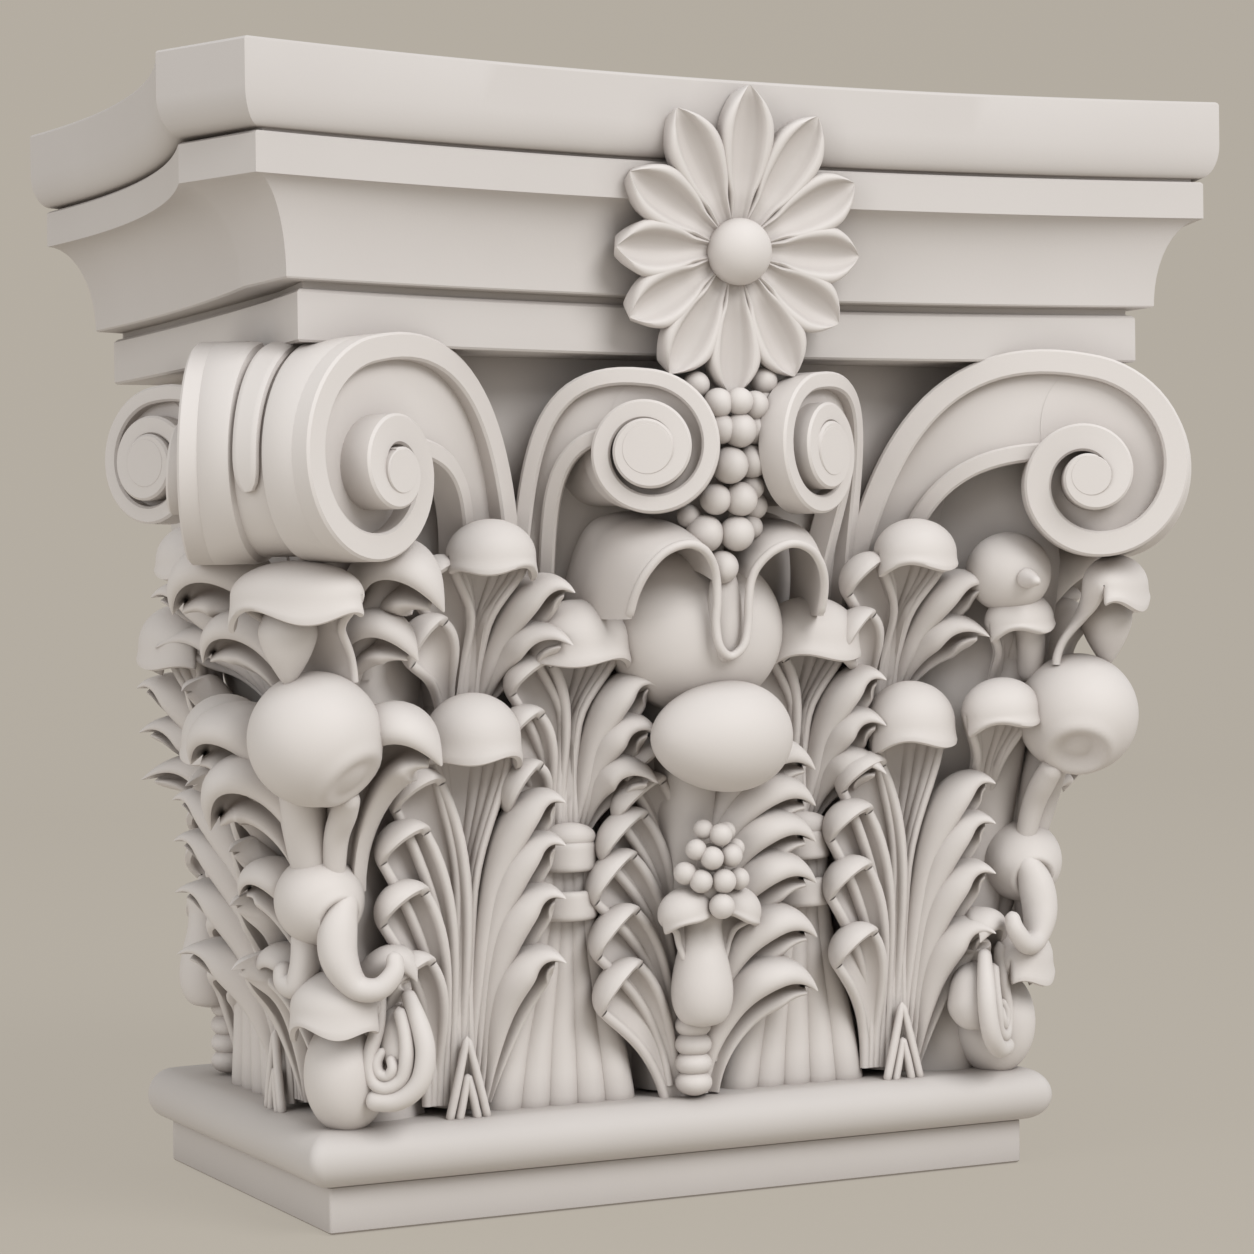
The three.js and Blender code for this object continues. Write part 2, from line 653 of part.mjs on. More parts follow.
// The leaf up a corner: a stalk, balls, blades to both sides and a hood above
const cornerLeaf = [
  loft(CORNER_LEVELS.map(([v, half, out]) => [
    at(0, v, -40), at(-half, v, out - 6), at(0, v, out), at(half, v, out - 6),
  ])),
  ...CORNER_BALLS.map(({ centre, sizes, around, down }) => ball(centre, sizes, around, down)),
  hood(CORNER_HOOD),
];
for (const hand of [-1, 1]) {
  for (const { from, to, wide, half } of CORNER_BLADES) {
    const out = (to - 100) * 0.2;
    cornerLeaf.push(lobe([
      at(hand * 6, from, out - 12),
      at(hand * 10, to - 14, out - 6),
      at(hand * wide * 0.55, to + 12, out),
      at(hand * wide, to, out - 4),
    ], half, hand));
  }
}
add(cornerLeaf, ...both(CORNER));

const whole = wasm.Manifold.union(solids);
const mesh = whole.getMesh();
const geometry = new THREE.BufferGeometry();
geometry.setAttribute('position', new THREE.BufferAttribute(mesh.vertProperties, 3));
geometry.setIndex(new THREE.BufferAttribute(mesh.triVerts, 1));
geometry.computeVertexNormals();

const capital = new THREE.Mesh(geometry, PLASTER);
capital.name = 'pilaster_capital';
capital.position.y = DEPTH / 2;

const group = new THREE.Group();
group.add(capital);

export default group;
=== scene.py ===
# %% [markdown]
# This lesson builds the looks of a Corinthian pilaster capital: the carved head of a flat column that
# stands against a wall. The real one is cast in one piece from a carved mould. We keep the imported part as
# a fixed frame and model the fine carving around it, one kind of form at a time: mouldings, scrolls,
# leaves, then the ornaments.

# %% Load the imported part
import math

import bpy
import numpy as np
from mathutils import Matrix, Vector


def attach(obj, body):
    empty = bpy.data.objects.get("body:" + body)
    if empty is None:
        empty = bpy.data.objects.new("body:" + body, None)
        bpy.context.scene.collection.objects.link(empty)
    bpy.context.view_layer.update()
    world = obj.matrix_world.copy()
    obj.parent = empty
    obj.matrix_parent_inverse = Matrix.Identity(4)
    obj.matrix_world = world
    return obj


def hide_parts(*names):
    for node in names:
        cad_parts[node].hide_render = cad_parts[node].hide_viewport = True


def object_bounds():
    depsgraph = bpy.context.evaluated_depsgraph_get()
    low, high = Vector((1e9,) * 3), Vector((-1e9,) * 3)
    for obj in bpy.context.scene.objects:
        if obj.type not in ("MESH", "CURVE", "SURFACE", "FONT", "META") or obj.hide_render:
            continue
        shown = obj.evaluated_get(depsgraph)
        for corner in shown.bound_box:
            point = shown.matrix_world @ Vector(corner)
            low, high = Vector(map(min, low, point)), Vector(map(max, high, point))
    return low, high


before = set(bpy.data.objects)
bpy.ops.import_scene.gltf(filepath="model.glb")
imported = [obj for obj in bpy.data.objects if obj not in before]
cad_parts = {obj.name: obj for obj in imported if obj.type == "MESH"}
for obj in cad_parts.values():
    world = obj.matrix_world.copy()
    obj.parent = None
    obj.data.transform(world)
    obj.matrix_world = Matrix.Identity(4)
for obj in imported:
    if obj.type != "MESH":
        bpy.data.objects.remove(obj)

NODE = "pilaster_capital"
cad_low, cad_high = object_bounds()
print("box of the part in metres", list(cad_low), list(cad_high))

# %% [markdown]
# All carving is laid out on a face: u runs along the face, v up it, and w out of it, counted from the
# neck's plane, in millimetres. A place turns those numbers into the part's own frame. The front, the two
# sides and the two corners then share one set of forms, and the mirror image is only another place.

# %% Places of the faces
MM = 0.001
NECK_HALF = 150.0
NECK_DEPTH = 181.5
WALL = cad_high.y / MM
SIDE_CENTRE = NECK_DEPTH - NECK_HALF
DIAGONAL = math.sqrt(0.5)


def place(origin, along, out):
    return np.array([along, (0, 0, 1), out], float), np.array(origin, float)


def mirrored(spot):
    axes, origin = spot
    flip = np.array([-1.0, 1.0, 1.0])
    return axes * flip, origin * flip


WHOLE = place((0, WALL, 0), (1, 0, 0), (0, -1, 0))
FRONT = place((0, WALL - NECK_DEPTH, 0), (1, 0, 0), (0, -1, 0))
LEFT = place((-NECK_HALF, WALL - SIDE_CENTRE, 0), (0, -1, 0), (-1, 0, 0))
CORNER = place((-NECK_HALF, WALL - NECK_DEPTH, 0), (DIAGONAL, -DIAGONAL, 0), (-DIAGONAL, -DIAGONAL, 0))
FRONT_LEFT = (FRONT[0] * np.array([[-1.0], [1.0], [1.0]]), FRONT[1])
RIGHT = mirrored(LEFT)
RIGHT_CORNER = mirrored(CORNER)
print("wall plane at", round(WALL, 1), "mm behind the origin")

# %% [markdown]
# A carved form is a closed skin over a grid of points. These few helpers make every one of them: a loft
# over closed rings, a sheet with rounded rims over an open grid, and the curves that both of them follow.

# %% Skins and curves
def unit(v):
    return v / np.maximum(np.linalg.norm(v, axis=-1, keepdims=True), 1e-9)


def smooth(x):
    k = np.clip(x, 0, 1)
    return k * k * (3 - 2 * k)


def mix(a, b, t):
    return a + (b - a) * t


def full_turn(count):
    return np.linspace(0, 2 * np.pi, count, endpoint=False)


def bezier(points, t):
    p = np.array(points, float)
    t = np.asarray(t, float)[:, None]
    return (1 - t) ** 3 * p[0] + 3 * (1 - t) ** 2 * t * p[1] + 3 * (1 - t) * t * t * p[2] + t ** 3 * p[3]


def passing(a, b, c, d, t):
    """A smooth step from b to c; a and d, their neighbours, set the slopes."""
    square = 2 * a - 5 * b + 4 * c - d
    cube = 3 * b - a - 3 * c + d
    return 0.5 * (2 * b + (c - a) * t + square * t ** 2 + cube * t ** 3)


def spline(points, count):
    """A smooth line through points, with a given number of stations."""
    p = np.array(points, float)
    padded = np.concatenate([[2 * p[0] - p[1]], p, [2 * p[-1] - p[-2]]])
    where = np.linspace(0, len(p) - 1, count)
    i = np.minimum(where.astype(int), len(p) - 2)
    t = (where - i)[:, None]
    return passing(*(padded[i + k] for k in range(4)), t)


def band_faces(stations, around):
    """Quads between closed rings of points, each joined to the next."""
    i = np.arange(stations - 1)[:, None] * around
    j = np.arange(around)[None, :]
    k = (j + 1) % around
    return np.stack([i + j, i + k, i + around + k, i + around + j], -1).reshape(-1, 4)


def loft(rings):
    """A closed skin over rings of points, each end closed by a fan to its middle."""
    rings = np.asarray(rings, float)
    stations, around, _ = rings.shape
    points = np.concatenate([rings.reshape(-1, 3), rings[:1].mean(1), rings[-1:].mean(1)])
    j = np.arange(around)
    k = (j + 1) % around
    first = stations * around
    start = np.stack([np.full(around, first), k, j], -1)
    end = np.stack([np.full(around, first + 1), j + first - around, k + first - around], -1)
    faces = band_faces(stations, around).tolist() + start.tolist() + end.tolist()
    return points, faces


RIM_STEPS = 3


def sheet(grid, thick):
    """A thin closed sheet over an open grid of points, with round rims along both edges."""
    grid = np.asarray(grid, float)
    stations, across, _ = grid.shape
    thick = np.broadcast_to(np.asarray(thick, float), (stations, across))[..., None]
    normal = unit(np.cross(np.gradient(grid, axis=0), np.gradient(grid, axis=1)))
    front = grid + normal * thick
    back = (grid - normal * thick)[:, ::-1]
    rims = []
    for end, inner in ((-1, -2), (0, 1)):
        outward = unit(grid[:, end] - grid[:, inner])
        turn = np.linspace(0, np.pi, RIM_STEPS + 2)[1:-1]
        upright = normal[:, end] if end == -1 else -normal[:, end]
        rims.append(np.stack([
            grid[:, end] + thick[:, end] * (np.cos(a) * upright + np.sin(a) * outward) for a in turn
        ], 1))
    rings = np.concatenate([front, rims[0], back, rims[1]], 1)
    around = rings.shape[1]
    faces = band_faces(stations, around).tolist()
    for base, order in ((0, 1), ((stations - 1) * around, -1)):
        last = 2 * across + RIM_STEPS - 1
        for j in range(across - 1):
            quad = [base + j, base + last - j, base + last - j - 1, base + j + 1]
            faces.append(quad[::order])
        far = [base + across - 1] + [base + across + RIM_STEPS - i for i in range(RIM_STEPS + 1)]
        faces.append(far[::order])
        near = [base] + [base + around - 1 - i for i in range(RIM_STEPS)] + [base + last]
        faces.append(near[::order])
    return rings.reshape(-1, 3), faces


def ball(centre, sizes, around=40, down=24):
    """A ball of three half sizes along u, v and w."""
    polar = np.linspace(0.02, np.pi - 0.02, down)[:, None]
    turn = full_turn(around)[None, :]
    level = np.sin(polar)
    shape = np.stack([level * np.cos(turn), np.cos(polar) + 0 * turn, level * np.sin(turn)], -1)
    return loft(shape * np.array(sizes) + np.array(centre, float))


MOUND_ROUND = 0.7
MOUND_RINGS = 14
MOUND_STEPS = 15


def mound(levels, behind=-30.0):
    """A rounded body that grows out of the bell: levels of middle, height, half width and projection."""
    turn = np.linspace(0, np.pi, MOUND_STEPS)
    rings = []
    for u, v, half, out in spline(levels, MOUND_RINGS):
        bulge = behind + (out - behind) * np.sin(turn) ** MOUND_ROUND
        rings.append(np.stack([u + half * np.cos(turn), np.full(MOUND_STEPS, v), bulge], -1))
    return loft(rings)


print("a plain ball has", len(ball((0, 0, 0), (1, 1, 1))[1]), "faces")


# %% [markdown]
# Plain clay-grey plaster takes its life from light. Its colour also holds painted shade: where ambient
# occlusion finds other surfaces close by, in hollows and creases, it turns warmer and darker, and open
# surfaces keep the plaster's own paler colour. On top there is only a faint cloudiness and a very fine grain.

# %% Nodes and plaster
# Painted shade: the colour of the hollows and creases that ambient occlusion finds, and the plaster's own
# colour on open surfaces.
PAINTED_SHADE_TONE = (0.400, 0.360, 0.335)
OPEN_TONE = (0.770, 0.731, 0.706)


def linked(name, data):
    """A new object in the scene."""
    obj = bpy.data.objects.new(name, data)
    bpy.context.scene.collection.objects.link(obj)
    return obj


def wire(tree, node, inputs):
    """Give each named input a value, or a link where it is another node's output."""
    for label, value in inputs.items():
        if isinstance(value, bpy.types.NodeSocket):
            tree.links.new(value, node.inputs[label])
        else:
            node.inputs[label].default_value = value


def add_node(tree, kind, inputs=(), **settings):
    node = tree.nodes.new(kind)
    for name, value in settings.items():
        setattr(node, name, value)
    wire(tree, node, dict(inputs))
    return node


def plaster(name, share):
    """One plaster with painted shade in its hollows; share scales its colours, so that the mouldings get a
    copy painted darker, as painted shade that makes them look less lit than the carving.
    """
    material = bpy.data.materials.new(name)
    material.use_nodes = True
    tree = material.node_tree
    spot = add_node(tree, "ShaderNodeTexCoord").outputs["Object"]
    # Painted shade: ambient occlusion blends the colour from the plaster's own to the darker, warmer one in
    # hollows and creases.
    cavity = add_node(tree, "ShaderNodeAmbientOcclusion", {"Distance": 0.014}, samples=1)
    tone = add_node(tree, "ShaderNodeValToRGB", {"Fac": cavity.outputs["AO"]})
    for element, position, colour in zip(tone.color_ramp.elements, (0.12, 0.95), (PAINTED_SHADE_TONE, OPEN_TONE)):
        element.position = position
        element.color = [part * share for part in colour] + [1]
    cloud = add_node(tree, "ShaderNodeTexNoise", {"Vector": spot, "Scale": 14, "Detail": 3})
    veil = add_node(tree, "ShaderNodeMix", data_type="RGBA", blend_type="SOFT_LIGHT")
    wire(tree, veil, {"Factor": 0.10, "A": tone.outputs["Color"], "B": cloud.outputs["Fac"]})
    grain = add_node(tree, "ShaderNodeTexNoise", {"Vector": spot, "Scale": 900, "Detail": 1})
    bump = add_node(tree, "ShaderNodeBump", {
        "Strength": 0.04, "Distance": 0.0004, "Height": grain.outputs["Fac"],
    })
    wire(tree, tree.nodes["Principled BSDF"], {
        "Roughness": 0.62, "Specular IOR Level": 0.35,
        "Base Color": veil.outputs["Result"], "Normal": bump.outputs["Normal"],
    })
    return material


PLASTER = plaster("plaster", 1.0)
# The mouldings' copy is painted 13% darker: painted shade, so that they look less lit than the carving.
MOULDING_WITH_PAINTED_SHADE = plaster("plaster_mouldings_painted_shade", 0.87)
print("materials:", PLASTER.name, "and", MOULDING_WITH_PAINTED_SHADE.name)

# %% [markdown]
# What repeats is left to Geometry Nodes. Three small trees do it: petals set round a circle, berries on
# points that carry their own radius, and round stalks along lines. Each tree ends in real geometry, and
# the finished mesh is read back, so that these forms are placed and joined like all the others.

# %% Geometry Nodes trees
def new_tree(name, inputs):
    tree = bpy.data.node_groups.new(name, "GeometryNodeTree")
    tree.interface.new_socket("Geometry", in_out="INPUT", socket_type="NodeSocketGeometry")
    tree.interface.new_socket("Geometry", in_out="OUTPUT", socket_type="NodeSocketGeometry")
    for label, kind, value in inputs:
        socket = tree.interface.new_socket(label, in_out="INPUT", socket_type=kind)
        socket.default_value = value
    start = tree.nodes.new("NodeGroupInput")
    end = tree.nodes.new("NodeGroupOutput")
    return tree, start, end


def close_tree(tree, end, geometry):
    realize = add_node(tree, "GeometryNodeRealizeInstances", {"Geometry": geometry})
    finish = add_node(tree, "GeometryNodeSetMaterial", {"Geometry": realize.outputs[0], "Material": PLASTER})
    tree.links.new(finish.outputs["Geometry"], end.inputs[0])


def math_node(tree, operation, *values):
    return add_node(tree, "ShaderNodeMath", enumerate(values), operation=operation).outputs[0]


def own_radius(tree):
    """The radius that each point of the input carries."""
    node = add_node(tree, "GeometryNodeInputNamedAttribute", {"Name": "radius"}, data_type="FLOAT")
    return node.outputs["Attribute"]


def petal_ring_tree():
    """The input petal, set round a circle, lengthened towards top and bottom and once more at the top."""
    tree, start, end = new_tree("petal ring", [
        ("Petals", "NodeSocketInt", 12), ("Radius", "NodeSocketFloat", 12.0),
        ("Extra length", "NodeSocketFloat", 0.1), ("Extra top", "NodeSocketFloat", 0.05),
    ])
    circle = add_node(tree, "GeometryNodeMeshCircle", {
        "Vertices": start.outputs["Petals"], "Radius": start.outputs["Radius"],
    }, fill_type="NONE")
    index = add_node(tree, "GeometryNodeInputIndex")
    whole_turns = math_node(tree, "MULTIPLY", index.outputs[0], 2 * math.pi)
    turn = math_node(tree, "DIVIDE", whole_turns, start.outputs["Petals"])
    heading = add_node(tree, "ShaderNodeCombineXYZ", {"Z": turn})
    rise = math_node(tree, "SINE", turn)
    both = math_node(tree, "MULTIPLY", math_node(tree, "MULTIPLY", rise, rise), start.outputs["Extra length"])
    upper = math_node(tree, "MULTIPLY", rise, start.outputs["Extra top"])
    longer = math_node(tree, "ADD", math_node(tree, "ADD", both, upper), 1.0)
    size = add_node(tree, "ShaderNodeCombineXYZ", {"X": longer, "Y": 1.0, "Z": 1.0})
    spread = add_node(tree, "GeometryNodeInstanceOnPoints", {
        "Points": circle.outputs["Mesh"], "Instance": start.outputs["Geometry"],
        "Rotation": heading.outputs[0], "Scale": size.outputs[0],
    })
    close_tree(tree, end, spread.outputs["Instances"])
    return tree


def berry_tree():
    """A ball on every point of the input, scaled by the point's own radius."""
    tree, start, end = new_tree("berries", [("Fineness", "NodeSocketInt", 4)])
    berry = add_node(tree, "GeometryNodeMeshIcoSphere", {"Subdivisions": start.outputs["Fineness"]})
    spread = add_node(tree, "GeometryNodeInstanceOnPoints", {
        "Points": start.outputs["Geometry"], "Instance": berry.outputs["Mesh"], "Scale": own_radius(tree),
    })
    close_tree(tree, end, spread.outputs["Instances"])
    return tree


def stalk_tree():
    """A round stalk along every line of the input, its radius carried by the line's points."""
    tree, start, end = new_tree("stalks", [("Sides", "NodeSocketInt", 16)])
    lines = add_node(tree, "GeometryNodeMeshToCurve", {"Mesh": start.outputs["Geometry"]})
    profile = add_node(tree, "GeometryNodeCurvePrimitiveCircle", {"Resolution": start.outputs["Sides"]})
    thick = add_node(tree, "GeometryNodeCurveToMesh", {
        "Curve": lines.outputs["Curve"], "Profile Curve": profile.outputs["Curve"],
        "Scale": own_radius(tree), "Fill Caps": True,
    })
    close_tree(tree, end, thick.outputs["Mesh"])
    return tree


def grown(tree, points, edges=(), faces=(), radii=None, **values):
    """Run a tree on a small input mesh and read the result back as skins."""
    mesh = bpy.data.meshes.new("seed")
    mesh.from_pydata([tuple(p) for p in np.asarray(points, float)], list(edges), list(faces))
    if radii is not None:
        radius = mesh.attributes.new("radius", "FLOAT", "POINT")
        radius.data.foreach_set("value", np.asarray(radii, np.float32))
    obj = linked("seed", mesh)
    modifier = obj.modifiers.new("tree", "NODES")
    modifier.node_group = tree
    sockets = {item.name: item.identifier for item in tree.interface.items_tree if item.in_out == "INPUT"}
    for label, value in values.items():
        modifier[sockets[label.replace("_", " ")]] = value
    made = bpy.data.meshes.new_from_object(obj.evaluated_get(bpy.context.evaluated_depsgraph_get()))
    obj.modifiers.remove(modifier)
    shape = np.empty(len(made.vertices) * 3)
    made.vertices.foreach_get("co", shape)
    skins = [(shape.reshape(-1, 3), [list(face.vertices) for face in made.polygons])]
    bpy.data.objects.remove(obj)
    bpy.data.meshes.remove(mesh)
    bpy.data.meshes.remove(made)
    return skins


PETAL_RING = petal_ring_tree()
BERRIES = berry_tree()
STALKS = stalk_tree()
print("trees:", PETAL_RING.name, BERRIES.name, STALKS.name)


def berries(spots):
    """spots: rows of u, v, w and radius."""
    spots = np.array(spots, float)
    return grown(BERRIES, spots[:, :3], radii=spots[:, 3], Fineness=4)


def stalks(lines, count=20, sides=16):
    """lines: each a list of points u, v, w and radius, made smooth and rounded off at both ends."""
    points, edges = [], []
    for line in lines:
        row = spline(line, count)
        walked = np.concatenate([[0], np.cumsum(np.linalg.norm(np.diff(row[:, :3], axis=0), axis=1))])
        to_end = np.minimum(walked, walked[-1] - walked) / row[:, 3]
        row[:, 3] *= np.sqrt(np.clip(1 - (1 - np.clip(to_end, 0, 1)) ** 2, 0.03, 1))
        first = len(points)
        points += row.tolist()
        edges += [(i, i + 1) for i in range(first, first + count - 1)]
    points = np.array(points)
    return grown(STALKS, points[:, :3], edges=edges, radii=points[:, 3], Sides=sides)


# %% [markdown]
# A leaf of acanthus is a fan of lobes. Here is the kind that is a solid blade. It leaves the stalk as a
# narrow gutter and swings outwards, and on the way its upper edge grows into a roof that rolls over a
# dark hollow and runs on to a point past the hollow's open mouth. We could bend a flat sheet, but it
# would look thin from the side. So we draw the blade's closed section at the foot, in the middle and at
# the head, and blend from one to the next.

# %% Lobes
LOBE_STEPS = 3
BLADE_STATIONS = 30


def closed_spline(points):
    """A smooth closed line through points, with a few steps to each of them."""
    p = np.array(points, float)
    t = np.linspace(0, 1, LOBE_STEPS, endpoint=False)[:, None]
    a, b, c, d = (np.roll(p, 1 - k, axis=0)[:, None] for k in range(4))
    return passing(a, b, c, d, t).reshape(-1, 2)


# Shares of the half width, towards the upper edge and outwards, in this order:
# low back, low rim, hollow, under lip, lip, roof, back
LOBE_FOOT = closed_spline([
    (-0.9, -0.5), (-0.95, 0.05), (-0.7, 0.4), (-0.42, 0.15), (-0.2, -0.1), (-0.05, 0.0),
    (0.0, 0.25), (0.12, 0.45), (0.4, 0.6), (0.75, 0.45), (1.0, 0.05), (0.9, -0.5),
])
LOBE_MIDDLE = closed_spline([
    (-0.9, -0.6), (-1.05, 0.15), (-0.82, 0.6), (-0.5, 0.4), (-0.22, -0.15), (0.1, -0.1),
    (0.12, 0.45), (-0.04, 0.8), (0.3, 1.0), (0.78, 0.75), (1.05, 0.2), (0.9, -0.6),
])
LOBE_HEAD = closed_spline([
    (-0.9, -0.7), (-1.15, 0.2), (-0.92, 0.75), (-0.56, 0.55), (-0.25, -0.15), (0.15, -0.1),
    (0.18, 0.75), (-0.12, 1.25), (0.3, 1.45), (0.88, 1.05), (1.12, 0.2), (0.9, -0.7),
])
# How far along the lobe each of those lines runs, with the roof as the longest
LOBE_ENDS = closed_spline([(end, 0) for end in (
    0.88, 0.94, 0.95, 0.92, 0.88, 0.88, 0.92, 0.98, 1.0, 1.0, 0.95, 0.88)])[:, 0]
# Where the tip lies in the section: on the lip, so that the roof falls to it and the lip runs straight
LOBE_TIP = np.array([-0.3, 0.55])


def bezier_slope(points, t):
    p = np.array(points, float)
    t = np.asarray(t, float)[:, None]
    return (1 - t) ** 2 * (p[1] - p[0]) + 2 * (1 - t) * t * (p[2] - p[1]) + t * t * (p[3] - p[2])


def blade(path, width, hand, base=0.22):
    """A lobe along a path of four points; base: the share of the half width that it starts with."""
    share = 1 - (1 - np.linspace(0, 1, BLADE_STATIONS)) ** 1.5
    columns = []
    for foot, middle, head, end in zip(LOBE_FOOT, LOBE_MIDDLE, LOBE_HEAD, LOBE_ENDS):
        t = share * min(end, 1.0)
        along = unit(bezier_slope(path, t))
        upper = unit(hand * np.cross(np.array([0, 0, 1.0]), along))
        front = hand * np.cross(along, upper)
        half = width * mix(base, 1.0, smooth(t / 0.66))[:, None]
        grow = smooth(t / 0.5)[:, None]
        turn = smooth((t - 0.42) / 0.36)[:, None]
        close = (1 - 0.93 * np.clip((t - 0.6) / 0.4, 0, 1) ** 2.2)[:, None]
        section = half * mix(LOBE_TIP, mix(mix(foot, middle, grow), head, turn), close)
        columns.append(bezier(path, t) + section[:, :1] * upper + section[:, 1:] * front)
    return loft(np.stack(columns, 1))


print("a blade's section has", len(LOBE_HEAD), "points")


# %% [markdown]
# The head of a leaf turns over forwards. It is the top of the leaf's own gutter, swung about a level axis
# through the gutter's two edges, then hanging down to a wavy lip. So the stalk and its hood are one
# sheet, made upright and then leant over or bent sideways.

# %% Hooded stalks
HOOD_SPAN = math.radians(84)
RIB_START = 0.32
RIB_PITCH = 0.36
BEND_LATE = 1.2
LIP_PHASE = 0.5


def bent(side, up, length, lean, bend):
    """Points beside a line that starts at the lean, bends on as far as its length and then runs straight."""

    def heading(at_height):
        return lean + bend * np.clip(at_height / length, 0, 1) ** BEND_LATE

    steps = np.linspace(0, 1.6 * length, 97)
    gap = steps[1]
    turn = heading(steps)
    halfway = (turn[1:] + turn[:-1]) / 2
    path_u = np.concatenate([[0], np.cumsum(gap * np.sin(halfway))])
    path_v = np.concatenate([[0], np.cumsum(gap * np.cos(halfway))])
    here = heading(up)
    return np.stack([np.interp(up, steps, path_u) + side * np.cos(here),
                     np.interp(up, steps, path_v) - side * np.sin(here)], -1)


def hooded_stalk(u, foot, top, half, deep, front, hang=10.0, foot_half=7.0, foot_out=-6.0, wave=1.6, lean=0.0,
                 bend=0.0, ribs=0.0, late=0.5, visor=np.pi, across=57, thick=1.6):
    """late: the share of the height where the gutter starts to widen; visor: how far the hood swings."""
    pivot = top - deep
    axis_out = front - deep
    angle = np.linspace(-HOOD_SPAN, HOOD_SPAN, across)
    sine = np.sin(angle) / math.sin(HOOD_SPAN)
    reach = deep * np.cos(angle)
    off = np.abs(angle) - RIB_START
    ripple = np.where(off > 0, 1 - np.cos(2 * np.pi * off / RIB_PITCH), 0)
    rows = []
    for share in np.linspace(0, 1, 18):
        grow = smooth((share - late) / (1 - late)) ** 1.5
        hollow = mix(1.5, deep, smooth((share - 0.25) / 0.75))
        floor = mix(foot_out, axis_out - deep, smooth(share))
        lift = ribs * ripple * smooth(share / 0.3) * smooth((1.02 - share) / 0.15)
        sideways = mix(foot_half, half, grow) * sine - lift * np.sin(angle)
        outwards = floor + hollow * (1 - np.cos(angle)) + lift * np.cos(angle)
        rows.append((sideways, np.full(across, mix(foot, pivot, share)), outwards))
    for swing in np.linspace(0, visor, 18)[1:]:
        rows.append((half * sine, pivot + reach * math.sin(swing), axis_out - reach * math.cos(swing)))
    drop = hang * mix(1.12, 0.8, np.cos(angle)) + wave * np.sin(3.2 * angle + LIP_PHASE)
    for share in np.linspace(0, 1, 8)[1:] if hang else ():
        flare = share ** 2
        outwards = axis_out + reach * (1 + 0.1 * flare)
        rows.append((half * sine * (1 + 0.06 * flare), pivot - drop * share, outwards))
    grid = np.stack([np.stack(row, -1) for row in rows])
    grid[..., :2] = bent(grid[..., 0], grid[..., 1] - foot, pivot - foot, lean, bend) + np.array([u, foot])
    depth = np.full((len(rows), 1), thick)
    depth[-2:, 0] = (0.96 * thick, 0.6 * thick)
    return sheet(grid[:, ::-1], depth)


print("a hood spans", round(math.degrees(2 * HOOD_SPAN)), "degrees of its gutter")


# %% [markdown]
# A whole leaf is its hooded stalk, a rounded body that joins it to the bell, and pairs of lobes. The
# lowest lobes start furthest from the midrib, so that their narrow ends lie side by side as the fine ribs
# at the foot. On one hand the lobes are blades. On the other they are small hooded stalks that bend over,
# with the mouth left open.

# %% Leaves
LEAF_OUT = -6.0
LOBE_WIDTH = 8.5
RIB_STEP = 2.2
HOOD_REACH = (0.62, 0.8, 0.82, 0.76)
HOOD_BEND = 0.62
HOOD_VISOR = math.radians(146)


def hooded_lobe(u, foot, head, top, front, half=10.0, deep=9.0, foot_half=2.5, foot_out=-8.0):
    """A small hooded stalk that bends from its foot over to its head."""
    bend = math.copysign(HOOD_BEND, head - u)
    end = bent(np.zeros(1), np.ones(1), 1.0, 0.0, bend)[0]
    lean = math.atan2(head - u, top - foot) - math.atan2(end[0], end[1])
    tall = math.hypot(head - u, top - foot) / math.hypot(end[0], end[1])
    return hooded_stalk(u, foot, foot + tall, half, deep, front, 0, foot_half=foot_half, foot_out=foot_out,
                        lean=lean, bend=bend, late=0.05, visor=HOOD_VISOR, across=37, thick=2.0)


def leaf(u, foot, top, half, deep, front, tips, reach, tip_out, hang=10.0, hooded=0):
    """hooded: the hand on which the lobes end in hoods; on the other they are blades."""
    shells = [hooded_stalk(u, foot, top, half, deep, front, hang, foot_half=3.5, foot_out=LEAF_OUT, ribs=0.7)]
    head_out = front - 2 * deep
    shells.append(mound([
        (u, foot, 9, LEAF_OUT - 2), (u, mix(foot, top, 0.45), reach * 0.5, mix(LEAF_OUT, head_out, 0.4) - 3),
        (u, top - deep * 1.3, half * 0.7, head_out - 2), (u, top - 3, half * 0.4, head_out - 4),
    ]))
    for hand in (1, -1):
        for k, height in enumerate(tips):
            start = 4.5 + RIB_STEP * k
            low = foot + 2
            turn = max(height - 58 + 3 * k, low + 8)
            out = mix(LEAF_OUT, head_out + 8, smooth((height - foot) / (top - foot)))
            if hand == hooded:
                head = u + hand * reach * HOOD_REACH[k]
                shells.append(hooded_lobe(u + hand * start, low, head, height + 12 - 2.5 * k, tip_out + 1))
            else:
                shells.append(blade([
                    (u + hand * start, low, LEAF_OUT - 0.5 * k),
                    (u + hand * (start + 2.5), turn, LEAF_OUT + 1),
                    (u + hand * reach * 0.5, height + 13, out),
                    (u + hand * reach, height, tip_out),
                ], LOBE_WIDTH, hand))
    return shells


LARGE = dict(u=94.5, foot=41, top=196, half=16.5, deep=15, front=24,
             tips=(156, 140, 120, 96), reach=36, tip_out=16)
BUNDLED = dict(u=50, foot=140, top=230, half=19, deep=14, front=21,
               tips=(198, 180, 161), reach=32, tip_out=14)
SMALL = dict(u=91, foot=186, top=260, half=15.5, deep=12, front=32, hang=7,
             tips=(234, 214), reach=34, tip_out=23)
FRONT_LEAVES = (LARGE, BUNDLED, SMALL)
SIDE_LEAVES = (dict(LARGE, front=33, tip_out=25), dict(BUNDLED, front=35, tip_out=26),
               dict(SMALL, front=41, tip_out=32))


